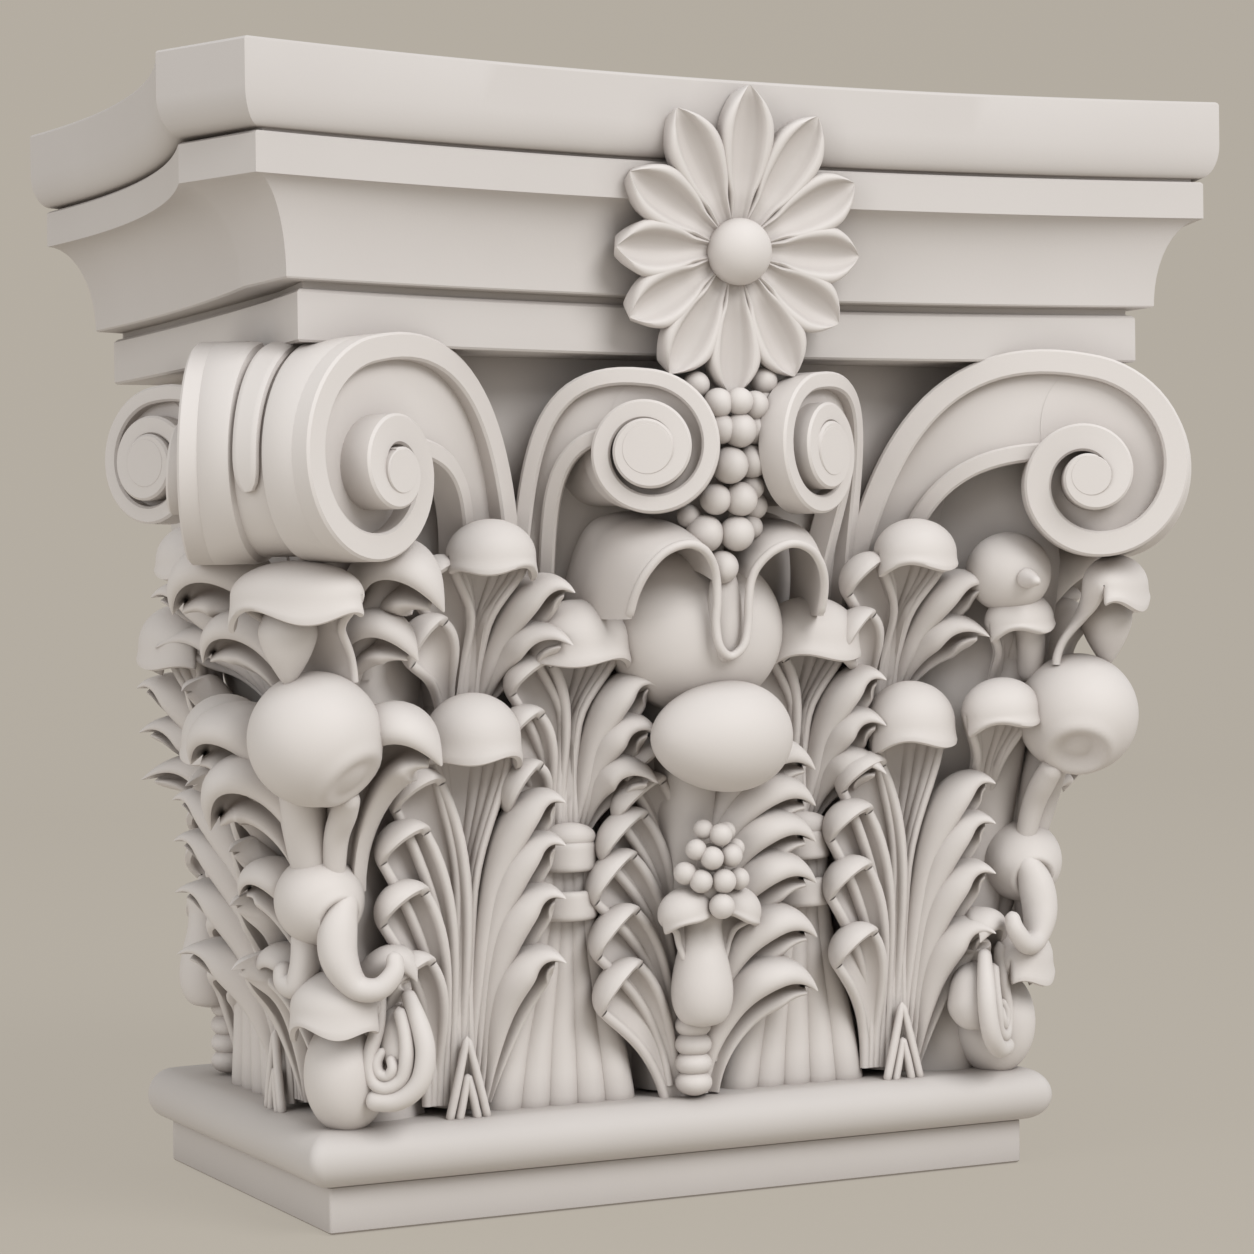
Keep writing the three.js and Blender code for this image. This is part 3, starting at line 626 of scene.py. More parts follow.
def chevrons(u):
    """Two nested arrowheads at the foot of the large leaf."""
    low = 37
    lines = [[(u + side, low, 0.5, 1.7), (u + side / 2, mix(low, tall, 0.5), 0.5, 1.7), (u, tall, 0, 1.5)]
             for half, tall in ((8, 69), (4, 55)) for side in (half, -half)]
    return stalks(lines, 16, 10)


print("lobes of the large leaf at", LARGE["tips"], "mm")


# %% [markdown]
# The mouldings are straight runs of a profile. The neck is a plain fillet and a half-round; the abacus
# has a hollow front and cut-off corners, so its outline in plan is worked out anew for each reach of the
# profile.

# %% Neck, bell and abacus
FILLET_HEIGHT = 17.7
TORUS_RADIUS = 10.5
BELL_INSET = 28.0
BELL_FLARE = ((39, 28), (150, 28), (210, 17), (250, 5), (285, 1), (325, 0))
TOTAL_HEIGHT = cad_high.z / MM
FASCIA_HALF = 176.0
FASCIA_DEPTH = 230.7
CHAMFER_DEPTH = 39.0
FRONT_HOLLOW = 23.0
HOLLOW_MIDDLE = 0.36
ABACUS_REACH = 27.0
CORNER_ROUND = 1.2


def lifted(plan, height):
    return np.stack([plan[:, 0], np.full(len(plan), height), plan[:, 1]], -1)


def three_sided(half, depth, height, radius):
    """A plan against the wall with its two front corners rounded."""
    turn = np.linspace(np.pi / 2, 0, 5)
    right = np.stack([half - radius + radius * np.sin(turn), depth - radius + radius * np.cos(turn)], -1)
    left = right[::-1] * np.array([-1, 1])
    return lifted(np.concatenate([[[half, 0]], right, left, [[-half, 0]]]), height)


def neck():
    middle = FILLET_HEIGHT + TORUS_RADIUS
    levels = [(-0.8, 0), (0, 0.8), (0, FILLET_HEIGHT - 0.6), (-0.6, FILLET_HEIGHT)]
    for angle in np.linspace(-1, 1, 21) * np.pi / 2:
        levels.append((TORUS_RADIUS * math.cos(angle), middle + TORUS_RADIUS * math.sin(angle)))
    levels += [(-6, middle + TORUS_RADIUS + 0.2), (-BELL_INSET, middle + TORUS_RADIUS + 0.3)]
    levels += [(-inset, height) for height, inset in spline(BELL_FLARE, 24)]
    return loft([
        three_sided(NECK_HALF + r, NECK_DEPTH + r, z, CORNER_ROUND + max(r, 0) * 0.3) for r, z in levels])


def abacus_plan(reach, height):
    """The outline at one height of the profile, with its hollow front and cut-off corners."""
    corner_x = FASCIA_HALF + 0.955 * reach
    corner_w = FASCIA_DEPTH + 0.8 * reach
    back_x = corner_x - 3 + 0.8 * reach
    back_w = corner_w - CHAMFER_DEPTH
    side_hollow = 3.5 + 0.72 * reach
    side = np.linspace(0, 1, 24)
    bow = ((side - HOLLOW_MIDDLE) / (1 - HOLLOW_MIDDLE)) ** 2
    across = np.linspace(1, -1, 48)
    right = np.stack([back_x - side_hollow * (1 - bow), back_w * side], -1)
    front = np.stack([corner_x * across, corner_w - FRONT_HOLLOW * (1 - across ** 2)], -1)
    left = right[::-1] * np.array([-1, 1])
    return lifted(np.concatenate([right, front, left]), height)


def abacus():
    levels = [(-4, 322.5), (-0.8, 322.5), (0, 323.3), (0, 339.8), (-1.2, 341), (-3, 341.2), (-3, 343.6)]
    levels += [(5.4, 344), (6, 344.6)]
    for angle in np.linspace(0.05, 1, 12) * np.pi / 2:
        levels.append((mix(6, 21.8, 1 - math.cos(angle)), mix(344.6, 378.3, math.sin(angle))))
    levels += [(21.8, 391.8), (21, 392.6), (18, 392.8), (18, 393.8), (20.2, 394)]
    for angle in np.linspace(0.08, 1, 10) * np.pi / 2:
        levels.append((mix(20.5, ABACUS_REACH, math.sin(angle)), mix(394, 407, 1 - math.cos(angle))))
    for inset, drop in ((0, 1.2), (0.4, 0.4), (1.2, 0)):
        levels.append((ABACUS_REACH - inset, TOTAL_HEIGHT - drop))
    return loft([abacus_plan(reach, height) for reach, height in levels])


print("total height", round(TOTAL_HEIGHT, 1), "mm")


# %% [markdown]
# Each scroll is a flat band wound on a spiral that shrinks by the same share every quarter turn. It
# starts as the outer rim of a rising stem, runs a little over two turns and climbs towards the eye, over
# a sunk floor.

# %% Scrolls
QUARTER = np.pi / 2
FLOOR_DEPTH = 4.5
# The web between a stem's two rims lies this much under the disc's floor, so that they never fight
UNDER = 0.05


def scroll_axes(facing):
    across = np.array([math.cos(facing), 0, -math.sin(facing)])
    front = np.array([math.sin(facing), 0, math.cos(facing)])
    return across, np.array([0, 1.0, 0]), front


def bar(path, across, front, half, proud, deep, bevel=0.9):
    """A square bar along a line: its face stands proud of the line and its body goes deep behind it."""
    half = np.broadcast_to(half, len(path))[:, None]
    proud = np.broadcast_to(proud, len(path))[:, None]
    deep = np.broadcast_to(deep, len(path))[:, None]
    corners = []
    for side, face in ((-1, 1), (1, 1), (1, -1), (-1, -1)):
        depth = proud if face > 0 else -deep
        edge = np.minimum(bevel, half * 0.4)
        first = path + across * side * half + front * (depth - face * edge)
        second = path + across * side * (half - edge) + front * depth
        corners += [first, second] if side * face < 0 else [second, first]
    return loft(np.stack(corners, 1))


def scroll(eye, facing, radius, decay, hand, rim, root, root_lead, climb, thick, turns=2.3, inner_rim=7.0):
    """root: where the stem starts; root_lead: its first direction; climb: how far the eye stands out."""
    across, up, front = scroll_axes(facing)
    floor = FLOOR_DEPTH
    eye = np.array(eye, float)
    root = np.array(root, float)
    lead = np.array(root_lead, float)

    def wheel(angle):
        return hand * np.sin(angle)[:, None] * across + np.cos(angle)[:, None] * up

    angle = np.linspace(0, 2 * np.pi * turns, int(64 * turns))
    outer = radius * decay ** (angle / QUARTER)
    width = np.minimum(rim * mix(1.0, 1.15, smooth(angle / 9)), outer * 0.86)
    lift = climb * smooth(angle / (2 * np.pi * 1.6))
    coil = eye + (outer - width / 2)[:, None] * wheel(angle) + lift[:, None] * front
    start = coil[0]
    length = np.linalg.norm(start - root)
    before = start - unit(coil[1] - coil[0]) * length * 0.42
    stem = bezier([root, root + lead * length, before, start], np.linspace(0, 1, 30))
    path = np.concatenate([stem[:-1], coil])
    side = unit(np.cross(front, unit(np.gradient(path, axis=0))))
    plain = np.ones(len(stem) - 1)
    half = np.concatenate([plain * rim / 2, width / 2])
    depth = np.concatenate([plain * thick * 1.3, np.linspace(thick, thick + climb, len(coil))])
    shells = [bar(path, side, front, half, 0, depth)]

    inner_root = root + np.array([hand * rim * 2.0, 0, 0])
    inner_end = eye + radius * 0.36 * wheel(np.array([-0.95]))[0]
    inner = bezier([
        inner_root, inner_root + lead * length * 0.75, inner_end - across * hand * length * 0.3, inner_end,
    ], np.linspace(0, 1, len(stem)))
    inner_side = unit(np.cross(front, unit(np.gradient(inner, axis=0))))
    shells.append(bar(inner, inner_side, front, inner_rim / 2, -0.6, thick))
    gap = np.maximum(np.linalg.norm(stem - inner, axis=1) / 2, 1.0)
    web = (stem + inner) / 2
    shells.append(bar(web, unit(stem - inner), front, gap, -floor - UNDER, thick - floor, UNDER))

    ring = full_turn(72)
    spiral = radius * decay ** (ring / QUARTER)
    disc = mix(spiral, radius, smooth((ring - 1.6 * np.pi) / (0.4 * np.pi))) - rim * 0.5
    rim_line = disc[:, None] * wheel(ring)
    shells.append(loft([eye + rim_line * share + front * z for share, z in (
        (0.97, -thick), (1.0, -thick + 1), (1.0, -floor), (0.5, -floor), (0.1, -floor))]))
    end = outer[-1]
    button = full_turn(48)
    top = climb + 0.15
    shells.append(loft([eye + end * share * wheel(button) + front * z for share, z in (
        (0.96, -floor), (0.97, climb - 0.3), (0.93, top), (0.5, top), (0.05, top))]))
    return shells


HELIX = dict(eye=(37, 286.5, 42), facing=0.5, radius=30, decay=0.885, hand=-1, rim=6.6,
             root=(74, 204, -6), root_lead=(-0.05, 0.5, 0.1), climb=5, thick=12, inner_rim=6)
VOLUTE = dict(eye=(148.5, 277, 56), facing=-0.5, radius=48, decay=0.805, turns=2.05, hand=1, rim=9.6,
              root=(70, 204, -6), root_lead=(0.02, 0.5, 0.1), climb=10, thick=14)
SIDE_HELIX = dict(HELIX, eye=(48, 286.5, 30))
SIDE_VOLUTE = dict(VOLUTE, eye=(148.5, 277, 46))
print("a volute's spiral starts", VOLUTE["radius"], "mm from its eye, a helix's", HELIX["radius"], "mm")

# %% [markdown]
# The rosette is a daisy of hollow petals round a button. A petal is a boat with a thick rim: narrow at
# the button, widest past the middle, and drawn to a point. The ring leans forward a little at the top,
# towards the abacus's lip.

# %% Rosette
ROSETTE = (0, 361, 41.5)
ROSETTE_LEAN = math.radians(8.6)
PETALS = 12
PETAL_LENGTH = 39.5
BUTTON = 12.5
# From the back edge over the fat rim to the middle: share of the half width, drop and share of the hollow
PETAL_SECTION = (
    (-0.9, -9.0, 0), (-1.0, -4.5, 0), (-1.03, -2.4, 0), (-0.98, -0.9, 0), (-0.88, -0.2, 0), (-0.76, 0, 0),
    (-0.65, -0.3, 0.05), (-0.56, -0.6, 0.28), (-0.47, -0.4, 0.58), (-0.36, 0, 0.78), (-0.18, 0, 0.92),
    (0, 0, 1.0),
)


def petal():
    """Along x, with its hollow towards z: stations of share, half width, rim height and hollow."""
    stations = spline([
        (0, 3.6, 3.6, 1.6), (0.1, 4.4, 4.6, 2.2), (0.2, 5.4, 5.6, 3.0), (0.36, 8.6, 6.8, 5.0),
        (0.56, 10.6, 8.0, 6.2), (0.72, 10.2, 8.4, 6.0), (0.85, 7.4, 8.0, 4.4), (0.94, 3.8, 7.0, 2.0),
        (1.0, 0.5, 5.6, 0.1),
    ], 36)
    rings = []
    for share, half, rim, hollow in stations:
        left = [(s * half, rim + drop * min(1, half / 4) - hollow * sunk) for s, drop, sunk in PETAL_SECTION]
        full = left + [(-y, z) for y, z in left[-2::-1]]
        rings.append([(share * PETAL_LENGTH, y, z) for y, z in full])
    return loft(rings)


def rosette():
    shape, faces = petal()
    flat = grown(PETAL_RING, shape, faces=faces, Petals=PETALS, Radius=BUTTON - 1.0,
                 Extra_length=0.17, Extra_top=0.09)
    flat.append(ball((0, 0, 5), (BUTTON, BUTTON, 11), 48, 32))
    hub = [[(r * math.cos(a), r * math.sin(a), z) for a in full_turn(32)]
           for r, z in ((24, -32), (26, -4), (18, -1))]
    flat.append(loft(hub))
    lean = np.array([[1, 0, 0], [0, math.cos(ROSETTE_LEAN), math.sin(ROSETTE_LEAN)],
                     [0, -math.sin(ROSETTE_LEAN), math.cos(ROSETTE_LEAN)]])
    return [(points @ lean + np.array(ROSETTE, float), faces) for points, faces in flat]


print(PETALS, "petals of", PETAL_LENGTH, "mm round a button of", 2 * BUTTON, "mm")


# %% [markdown]
# Between the helices hangs a bunch of grapes, and under it a calyx: a round belly behind two broad flaps
# that arch like a raised curtain, with a small rimmed tongue where they meet.

# %% Grapes and calyx
# Across, up and radius of each grape
GRAPES = (
    (-2.6, 243, 5.6), (-9.3, 255.5, 6.6), (2.7, 255.5, 6.1), (11, 258, 4.2), (-6.4, 268.4, 5.4),
    (3.6, 268.4, 5.9), (12.5, 266, 4.8), (9.9, 273, 4.4), (-2.0, 281, 6.4), (8.6, 282.6, 5.8),
    (1.2, 294, 6.0), (9.6, 294.5, 5.2),
    (-6, 294.5, 5.2), (-7.4, 304, 5.2), (0.4, 304.6, 4.8), (8.4, 303.5, 5.0), (15, 306, 4.0), (15, 313, 4.8),
    (-14, 311, 4.6), (-12.5, 284, 4.2), (-14, 262, 4.2),
)


def grapes():
    spots = [(u, v, mix(35, 44, (v - 243) / 60) - 0.04 * u * u, radius * 1.1) for u, v, radius in GRAPES]
    return berries(spots) + [mound([(0, 236, 5, 24), (0, 256, 12, 28), (0, 285, 13, 34), (0, 314, 17, 36)])]


# The right half of the rim, from the tongue's tip up and over the arch
FLAP_RIM = (
    (0, 209.5, 35.5), (5.2, 213.5, 36.5), (6.8, 222, 37), (6.7, 230, 38), (7.4, 238, 39), (9.8, 244, 41),
    (15, 249.3, 44), (22.5, 251.6, 45.5), (31, 248.8, 44), (37, 242, 41), (40, 234, 37), (41, 224, 32),
)


def flap(hand):
    """A vault behind the arched rim, widening towards the bell."""
    edge = spline(FLAP_RIM[4:], 40)
    wide = smooth((edge[:, 0] - 7) / 26)
    rows = []
    for back in np.linspace(0, 1, 14):
        bulge = 2.6 * math.sin(math.pi * min(back * 1.3, 1))
        u = edge[:, 0] + wide * (9 * back + bulge * 0.6)
        v = edge[:, 1] + (12 * back + bulge) * smooth((edge[:, 1] - 226) / 22)
        rows.append(np.stack([hand * u, v, edge[:, 2] - 40 * back], -1))
    return sheet(np.stack(rows, 1)[:, ::-hand], 1.3)


def calyx():
    half_rim = [(u, v, w, 1.7) for u, v, w in FLAP_RIM]
    rim = [(-u, v, w, r) for u, v, w, r in half_rim[:0:-1]] + half_rim
    return [ball((0, 219, 6), (36, 32, 27), 56, 36), ball((0, 226, 31), (7, 19, 4.5)), flap(1), flap(-1),
            *stalks([rim], 120, 14)]


print(len(GRAPES), "grapes over the calyx")


# %% [markdown]
# Up the middle grows a stem: four beads, a bulb with a waist, a mouth with two curled lips and a few
# berries. Above it a leaf turns over into an egg, and fronds fan out on both sides.

# %% Central stem
BERRY_SPOTS = (
    (0, 114.6, 26, 4.9), (-7.4, 124.2, 23.5, 4.5), (1.3, 124, 25.5, 4.7), (8.8, 124.4, 23, 4.3),
    (-12.4, 127.3, 20, 4.4), (-3.4, 132.9, 25, 4.5), (5, 133.5, 24.5, 4.4), (-8.6, 136.1, 22, 4.1),
    (0.7, 141.5, 24.5, 4.4), (9, 136, 20.5, 3.6), (-4.6, 143.6, 20.5, 3.8), (5.4, 142.5, 20, 3.6),
    (0, 132, 18, 6.0), (0, 122, 17, 7.0),
)
FROND_TIPS = (167, 153, 139, 123, 102, 81)
FROND_REACH = 49.0
FROND_HEADS = (0.38, 0.5, 0.66, 0.76, 0.74, 0.72)


def lathe(profile, out):
    """A round body about an upright axis: a profile of radius and height."""
    turn = full_turn(32)
    level = np.ones(len(turn))
    return loft([
        np.stack([r * np.cos(turn), v * level, out + r * np.sin(turn)], -1) for r, v in spline(profile, 48)])


def fronds(hooded_reach=FROND_REACH, out=0.0):
    """Blades up one side of the stem and hooded lobes up the other."""
    blades, hoods = [], []
    for k, height in enumerate(FROND_TIPS):
        low = max(height - 50, 40)
        blades.append(blade([
            (4 + 0.7 * k, low, out - 3), (7 + 0.5 * k, mix(low, height, 0.62), out),
            (FROND_REACH * 0.52, height + 13, out + 6), (FROND_REACH, height - 1, out + 10),
        ], 10.5, 1, base=0.55))
        head = -hooded_reach * FROND_HEADS[k]
        hoods.append(hooded_lobe(-4, low - 8, head, height + 9, out + 12, 11.5, 8.5, 4, out - 6))
    return blades + hoods


def egg():
    points, faces = ball((0, 0, 0), (28.5, 21, 20.5), 64, 40)
    slim = 1 + 0.0045 * points[:, 0]
    points[:, 1:] *= slim[:, None]
    return points + np.array([0, 179, 27.0]), faces


def stem(with_head, out=0.0):
    shells = [ball((0, 44.6 + 7.4 * i, out + 1), (7.2, 5.2, 7.2), 32, 20) for i in range(4)]
    bulb = [(2, 67), (8, 69), (11.2, 74.5), (12, 82), (10.6, 91), (8.6, 99), (8, 106), (8.6, 112), (4, 116)]
    shells.append(lathe(bulb, out + 9))
    if with_head:
        shells.append(mound([
            (0, 40, 12, -10), (0, 90, 14, -4), (0, 130, 15, 6), (0, 170, 16, 14), (0, 195, 15, 16),
        ]))
        shells += berries(BERRY_SPOTS) + [egg()]
        for hand in (1, -1):
            shells.append(hooded_stalk(hand * 5, 95, 121, 9.5, 8, 24, 4, foot_half=4, foot_out=10, wave=0.6,
                                       lean=hand * 0.32, thick=1.3))
    return shells


print(len(BERRY_SPOTS), "berries, and", len(FROND_TIPS), "fronds on each side")


# %% [markdown]
# Beside the large leaf stands a sheaf of stalks, tied by two straps. The stalks are round lines from the
# stalk tree, half sunk into a rounded body; the straps are short sheets bent round the front.

# %% Tied bundle
BUNDLE = 51.0
STRAP_HEIGHTS = (115.5, 134.0)


def strap(height):
    turn = np.linspace(-1.25, 1.25, 22)
    tall = np.linspace(-4, 4, 7)
    grid = np.stack([np.stack([
        np.full(7, BUNDLE + 14 * math.sin(a)), height + tall, np.full(7, -14 + 18 * math.cos(a)),
    ], -1) for a in turn])
    return sheet(grid, 1.7)


def bundle():
    lines = []
    for i in range(5):
        x = i - 2
        lines.append([(BUNDLE + x * pitch, v, w, radius) for pitch, v, w, radius in (
            (12.6, 30, -15, 9.0), (9.6, 66, -13, 7.4), (5.6, 100, -8, 4.8),
            (4.4, 116, -5, 4.0), (4.2, 134, -5, 3.8), (3.4, 142, -6, 3.2),
        )])
    shells = stalks(lines, 30, 14) + [strap(height) for height in STRAP_HEIGHTS]
    shells.append(ball((BUNDLE, 141.5, -1), (11, 5.5, 6)))
    body = ((38, 32, -16), (75, 22, -14), (118, 11, -8), (150, 12, -7))
    shells.append(mound([(BUNDLE, *level) for level in body]))
    return shells


print("straps at", STRAP_HEIGHTS, "mm")


# %% [markdown]
# The leaf up a corner is freer: a great ball that is a leaf rolled right over, a smaller ball with two
# trunk-like curls, a hood and a coiled foot, with blades to both sides and a broad cap under the volute.

# %% Corner leaf
def notched_ball(centre, radius, toward, opening, sunk):
    """A leaf end rolled into a ball, with the mouth of the roll turned to one side."""
    points, faces = ball((0, 0, 0), (1, 1, 1), 72, 48)
    off = np.arccos(np.clip(unit(points) @ unit(np.array(toward, float)), -1, 1))
    lip = 0.03 * np.exp(-((off - opening - 0.06) / 0.1) ** 2)
    size = radius * (1 - sunk * smooth((opening - off) / 0.2) + lip)
    return points * size[:, None] + np.array(centre, float), faces


# Two hooded leaves at the front's right end, in place of blades there
CORNER_HOODS = (
    dict(u=134, foot=132, top=197, half=15, deep=12, front=34, hang=6, foot_half=6, foot_out=-8),
    dict(u=140, foot=186, top=231, half=13, deep=10, front=34, hang=5, foot_half=6, foot_out=4),
)
# Half width and path of each blade, drawn for the right hand
WALL_BLADES = (
    (12.5, ((4, 126, 0), (6, 156, 8), (26, 180, 14), (42, 152, 4))),
    (9.5, ((5, 84, -12), (8, 108, -8), (20, 142, -2), (36, 126, -6))),
)
FACE_BLADES = (
    (14, ((6, 126, -4), (9, 164, 4), (28, 196, 10), (50, 177, 0))),
    (9.5, ((7, 194, 8), (11, 212, 14), (26, 230, 14), (43, 213, 6))),
    (13, ((12, 204, 0), (15, 232, 4), (34, 254, 18), (54, 232, 6))),
)
FOOT_BLADE = (9, ((5, 46, -16), (8, 76, -14), (18, 110, -10), (33, 95, -14)))
# Points and radius of the round stalks and curls
CORNER_STALKS = dict(
    right=[(4, 124, 2, 4), (8, 145, 8, 4.6), (14, 156, 14, 5), (19, 164, 20, 4.4)],
    left=[(-3, 124, 2, 6), (-4, 145, 7, 8), (-4, 165, 12, 9), (-2, 180, 16, 8)],
    ribbon=[(10, 196, 8, 5), (18, 216, 10, 6), (27, 232, 8, 6.5), (30, 250, 2, 6)],
    curl=[(11, 127, 4, 4.0), (9, 115, 9, 7.0), (10, 103, 11, 7.0), (16, 93, 10, 5.0), (24, 92, 8, 4.2),
          (29, 98, 5, 3.6), (28, 105, 3, 2.8)],
    small=[(-7, 114, 2, 5.6), (-7, 101, 3, 5.6), (-10, 92, 3, 5.2), (-16, 93, 1, 4.4), (-17, 100, 0, 3.6)],
    loop=[(28, 90, -8, 2.6), (34.5, 76, -6, 3.6), (36.5, 66, -5, 3.8), (34, 56, -4, 3.8), (26, 50, -3, 3.8),
          (14, 50, -2, 4)],
    inner_loop=[(19.5, 92, -4, 2.4), (19, 78, -3, 2.6), (16, 66, -2, 2.8), (17, 57.5, -2, 2.8),
                (22, 54.5, -2, 2.8), (28, 58, -3, 2.8), (30, 66, -3, 2.8), (29, 75, -4, 2.6),
                (26, 84, -5, 2.4)],
    drop=[(21, 69, -3, 1.6), (18.6, 64, -2, 2.2), (19.6, 60, -2, 2.2), (23, 59, -2, 2.2), (25, 62, -2, 2.2),
          (23.4, 66.5, -3, 1.8)],
    backing=[(22, 84, -14, 8), (25, 66, -13, 11), (23, 58, -13, 11)],
)


def corner_blade(hand, half, path):
    return blade([(hand * u, v, w) for u, v, w in path], half, hand, base=0.5)


def corner_leaf(inner):
    """inner: whether blades fill the front's side too, or a knob with a small tip stands there."""
    bud, bud_faces = lathe([(1, 202), (4, 206), (8.5, 214), (10.5, 222), (7, 230)], 38)
    shells = [
        mound([
            (0, 38, 20, -18), (0, 80, 15, -12), (0, 125, 13, -4), (2, 170, 14, 4),
            (5, 215, 17, 16), (6, 250, 16, 20), (4, 285, 16, 14), (0, 315, 14, 8),
        ], behind=-44),
        notched_ball((9, 183, 27), 24.3, (0.72, -0.66, 0.15), 0.5, 0.08 if inner else 0.2),
        notched_ball((-2, 123, 1), 16.6, (0.75, -0.4, 0.5), 0.5, 0.3),
        ball((3, 58, -10), (15.5, 22, 17), 48, 30),
        (bud + np.array([4.0, 0, 0]), bud_faces),
        hooded_stalk(10, 203, 245, 23.5, 11, 54, 9, foot_half=12, foot_out=20, wave=3),
        hooded_stalk(4, 56, 96, 15.5, 12, 13, 10, foot_half=9, foot_out=-14, wave=2.4),
    ]
    shells += [corner_blade(-1, *spec) for spec in WALL_BLADES + FACE_BLADES]
    shells += [corner_blade(hand, *FOOT_BLADE) for hand in (1, -1)]
    if inner:
        shells += [corner_blade(1, *spec) for spec in FACE_BLADES]
    else:
        shells += [ball((30, 240, 4), (15, 16, 17)), *stalks([[(40, 238, 12, 5), (50, 236, 20, 1.5)]])]
    return shells + stalks(CORNER_STALKS.values(), 48, 20)


print("a corner leaf has", len(CORNER_STALKS), "stalks and curls")


# %% [markdown]
# Where two volutes meet at a corner, a saddle joins them: a drum with a raised band at each end, a sunk
# middle, and a tongue that hangs down the middle from under the abacus.

# %% Saddle and helix drums
def wound_edge(spec, angle, scale, back):
    across, up, front = scroll_axes(spec["facing"])
    radius = spec["radius"] * spec["decay"] ** (angle / QUARTER) * scale
    spin = spec["hand"] * np.sin(angle)[:, None] * across + np.cos(angle)[:, None] * up
    return np.array(spec["eye"], float) + radius[:, None] * spin - back * front


def to_whole(points, spot):
    axes, origin = spot
    whole_axes, whole_origin = WHOLE
    return (points @ axes + origin - whole_origin) @ whole_axes.T


# Shares of the way from volute to volute, and of the volute's size there
SADDLE_LEVELS = (
    (0, 0.985), (0.03, 1.0), (0.29, 1.0), (0.33, 0.985), (0.36, 0.925),
    (0.64, 0.925), (0.67, 0.985), (0.71, 1.0), (0.97, 1.0), (1, 0.985),
)
DRUM_BACK = 6


def saddle_line(angle, share, scale):
    front = to_whole(wound_edge(VOLUTE, angle, scale, DRUM_BACK), FRONT)
    side = to_whole(wound_edge(SIDE_VOLUTE, angle, scale, DRUM_BACK), RIGHT)
    return mix(front, side, share)


def saddle():
    angle = full_turn(80)
    drum = loft([saddle_line(angle, share, scale) for share, scale in SADDLE_LEVELS])
    sweep = np.linspace(-0.35, 1.75, 30)
    width = 0.085 * np.sqrt(np.clip(1 - np.clip((sweep - 1.45) / 0.3, 0, 1) ** 2, 0.02, 1))
    tongue = np.stack([
        saddle_line(sweep, 0.5 + side * width[:, None], 0.955) for side in np.linspace(-1, 1, 9)], 1)
    return [drum, sheet(tongue, 1.8)]


def helix_drum(spec):
    angle = full_turn(64)
    behind = dict(spec, eye=(spec["eye"][0] + 3, 286, -36), facing=0.0)
    rows = []
    for share, scale in ((0.0, 0.94), (0.12, 0.94), (0.14, 0.86), (0.3, 0.84), (1.0, 0.8)):
        near = wound_edge(spec, angle, scale, DRUM_BACK)
        rows.append(mix(near, wound_edge(behind, angle, scale, 0), share))
    return loft(rows)


print("a saddle's drum has", len(SADDLE_LEVELS), "rings")


# %% [markdown]
# A piece gathers the skins of one area of the capital, puts them in their place and becomes one smooth
# mesh. Its faces are turned outwards by the sign of each skin's volume, because a mirrored place turns a
# skin inside out.

# %% Pieces
def signed_volume(points, faces):
    total = 0.0
    by_size = {}
    for face in faces:
        by_size.setdefault(len(face), []).append(face)
    for size, group in by_size.items():
        group = np.array(group)
        for k in range(1, size - 1):
            a, b, c = (points[group[:, i]] for i in (0, k, k + 1))
            total += np.einsum("ij,ij->i", a, np.cross(b, c)).sum()
    return total


def piece(name, placed, crisp=52, material=PLASTER):
    """placed: pairs of a skin and its place; edges that turn by more than crisp degrees stay sharp."""
    points, faces, offset = [], [], 0
    for (shape, skin), (axes, origin) in placed:
        here = shape @ axes + origin
        turned = signed_volume(here - here.mean(0), skin) < 0
        faces += [[i + offset for i in (face[::-1] if turned else face)] for face in skin]
        points.append(here)
        offset += len(here)
    mesh = bpy.data.meshes.new(name)
    mesh.from_pydata((np.concatenate(points) * MM).tolist(), [], faces)
    mesh.polygons.foreach_set("use_smooth", [True] * len(mesh.polygons))
    mesh.set_sharp_from_angle(angle=math.radians(crisp))
    mesh.materials.append(material)
    obj = linked(name, mesh)
    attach(obj, "root")
    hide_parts(NODE)
    triangles = sum(len(face) - 2 for face in faces)
    print(name, triangles, "triangles")


def at(spot, shells):
    return [(shell, spot) for shell in shells]


# %% [markdown]
# First the plain mouldings take their places. On the real capital they are run smooth, without tool marks,
# and their edges stay crisp. They get the copy of the plaster painted slightly darker: painted shade that
# makes them look less lit than the carving.

# %% Mouldings in place
piece("neck_and_bell", at(WHOLE, [neck()]), 30, MOULDING_WITH_PAINTED_SHADE)
piece("abacus", at(WHOLE, [abacus()]), 20, MOULDING_WITH_PAINTED_SHADE)

# %% [markdown]
# The leaves, the tied sheaf and the scrolls fill half of a face. The front has two such halves, and each
# side has one, next to the corner. The sides are seen less, so their leaves have blades on both hands and
# stand out further.

# %% Foliage of the four half faces
HALF_FACES = {"front_right": FRONT, "front_left": FRONT_LEFT, "left_side": LEFT, "right_side": RIGHT}
HOODED_HAND = {"front_right": -1, "front_left": 1}
sheaf = bundle()
for side_name, spot in HALF_FACES.items():
    on_front = side_name.startswith("front")
    leaves = chevrons(LARGE["u"])
    for spec in FRONT_LEAVES if on_front else SIDE_LEAVES:
        leaves += leaf(**spec, hooded=HOODED_HAND.get(side_name, 0))
    piece("leaves_" + side_name, at(spot, leaves))
    piece("bundle_" + side_name, at(spot, sheaf))
    helix = HELIX if on_front else SIDE_HELIX
    volute = VOLUTE if on_front else SIDE_VOLUTE
    piece("scrolls_" + side_name, at(spot, scroll(**helix) + scroll(**volute) + [helix_drum(helix)]), 30)

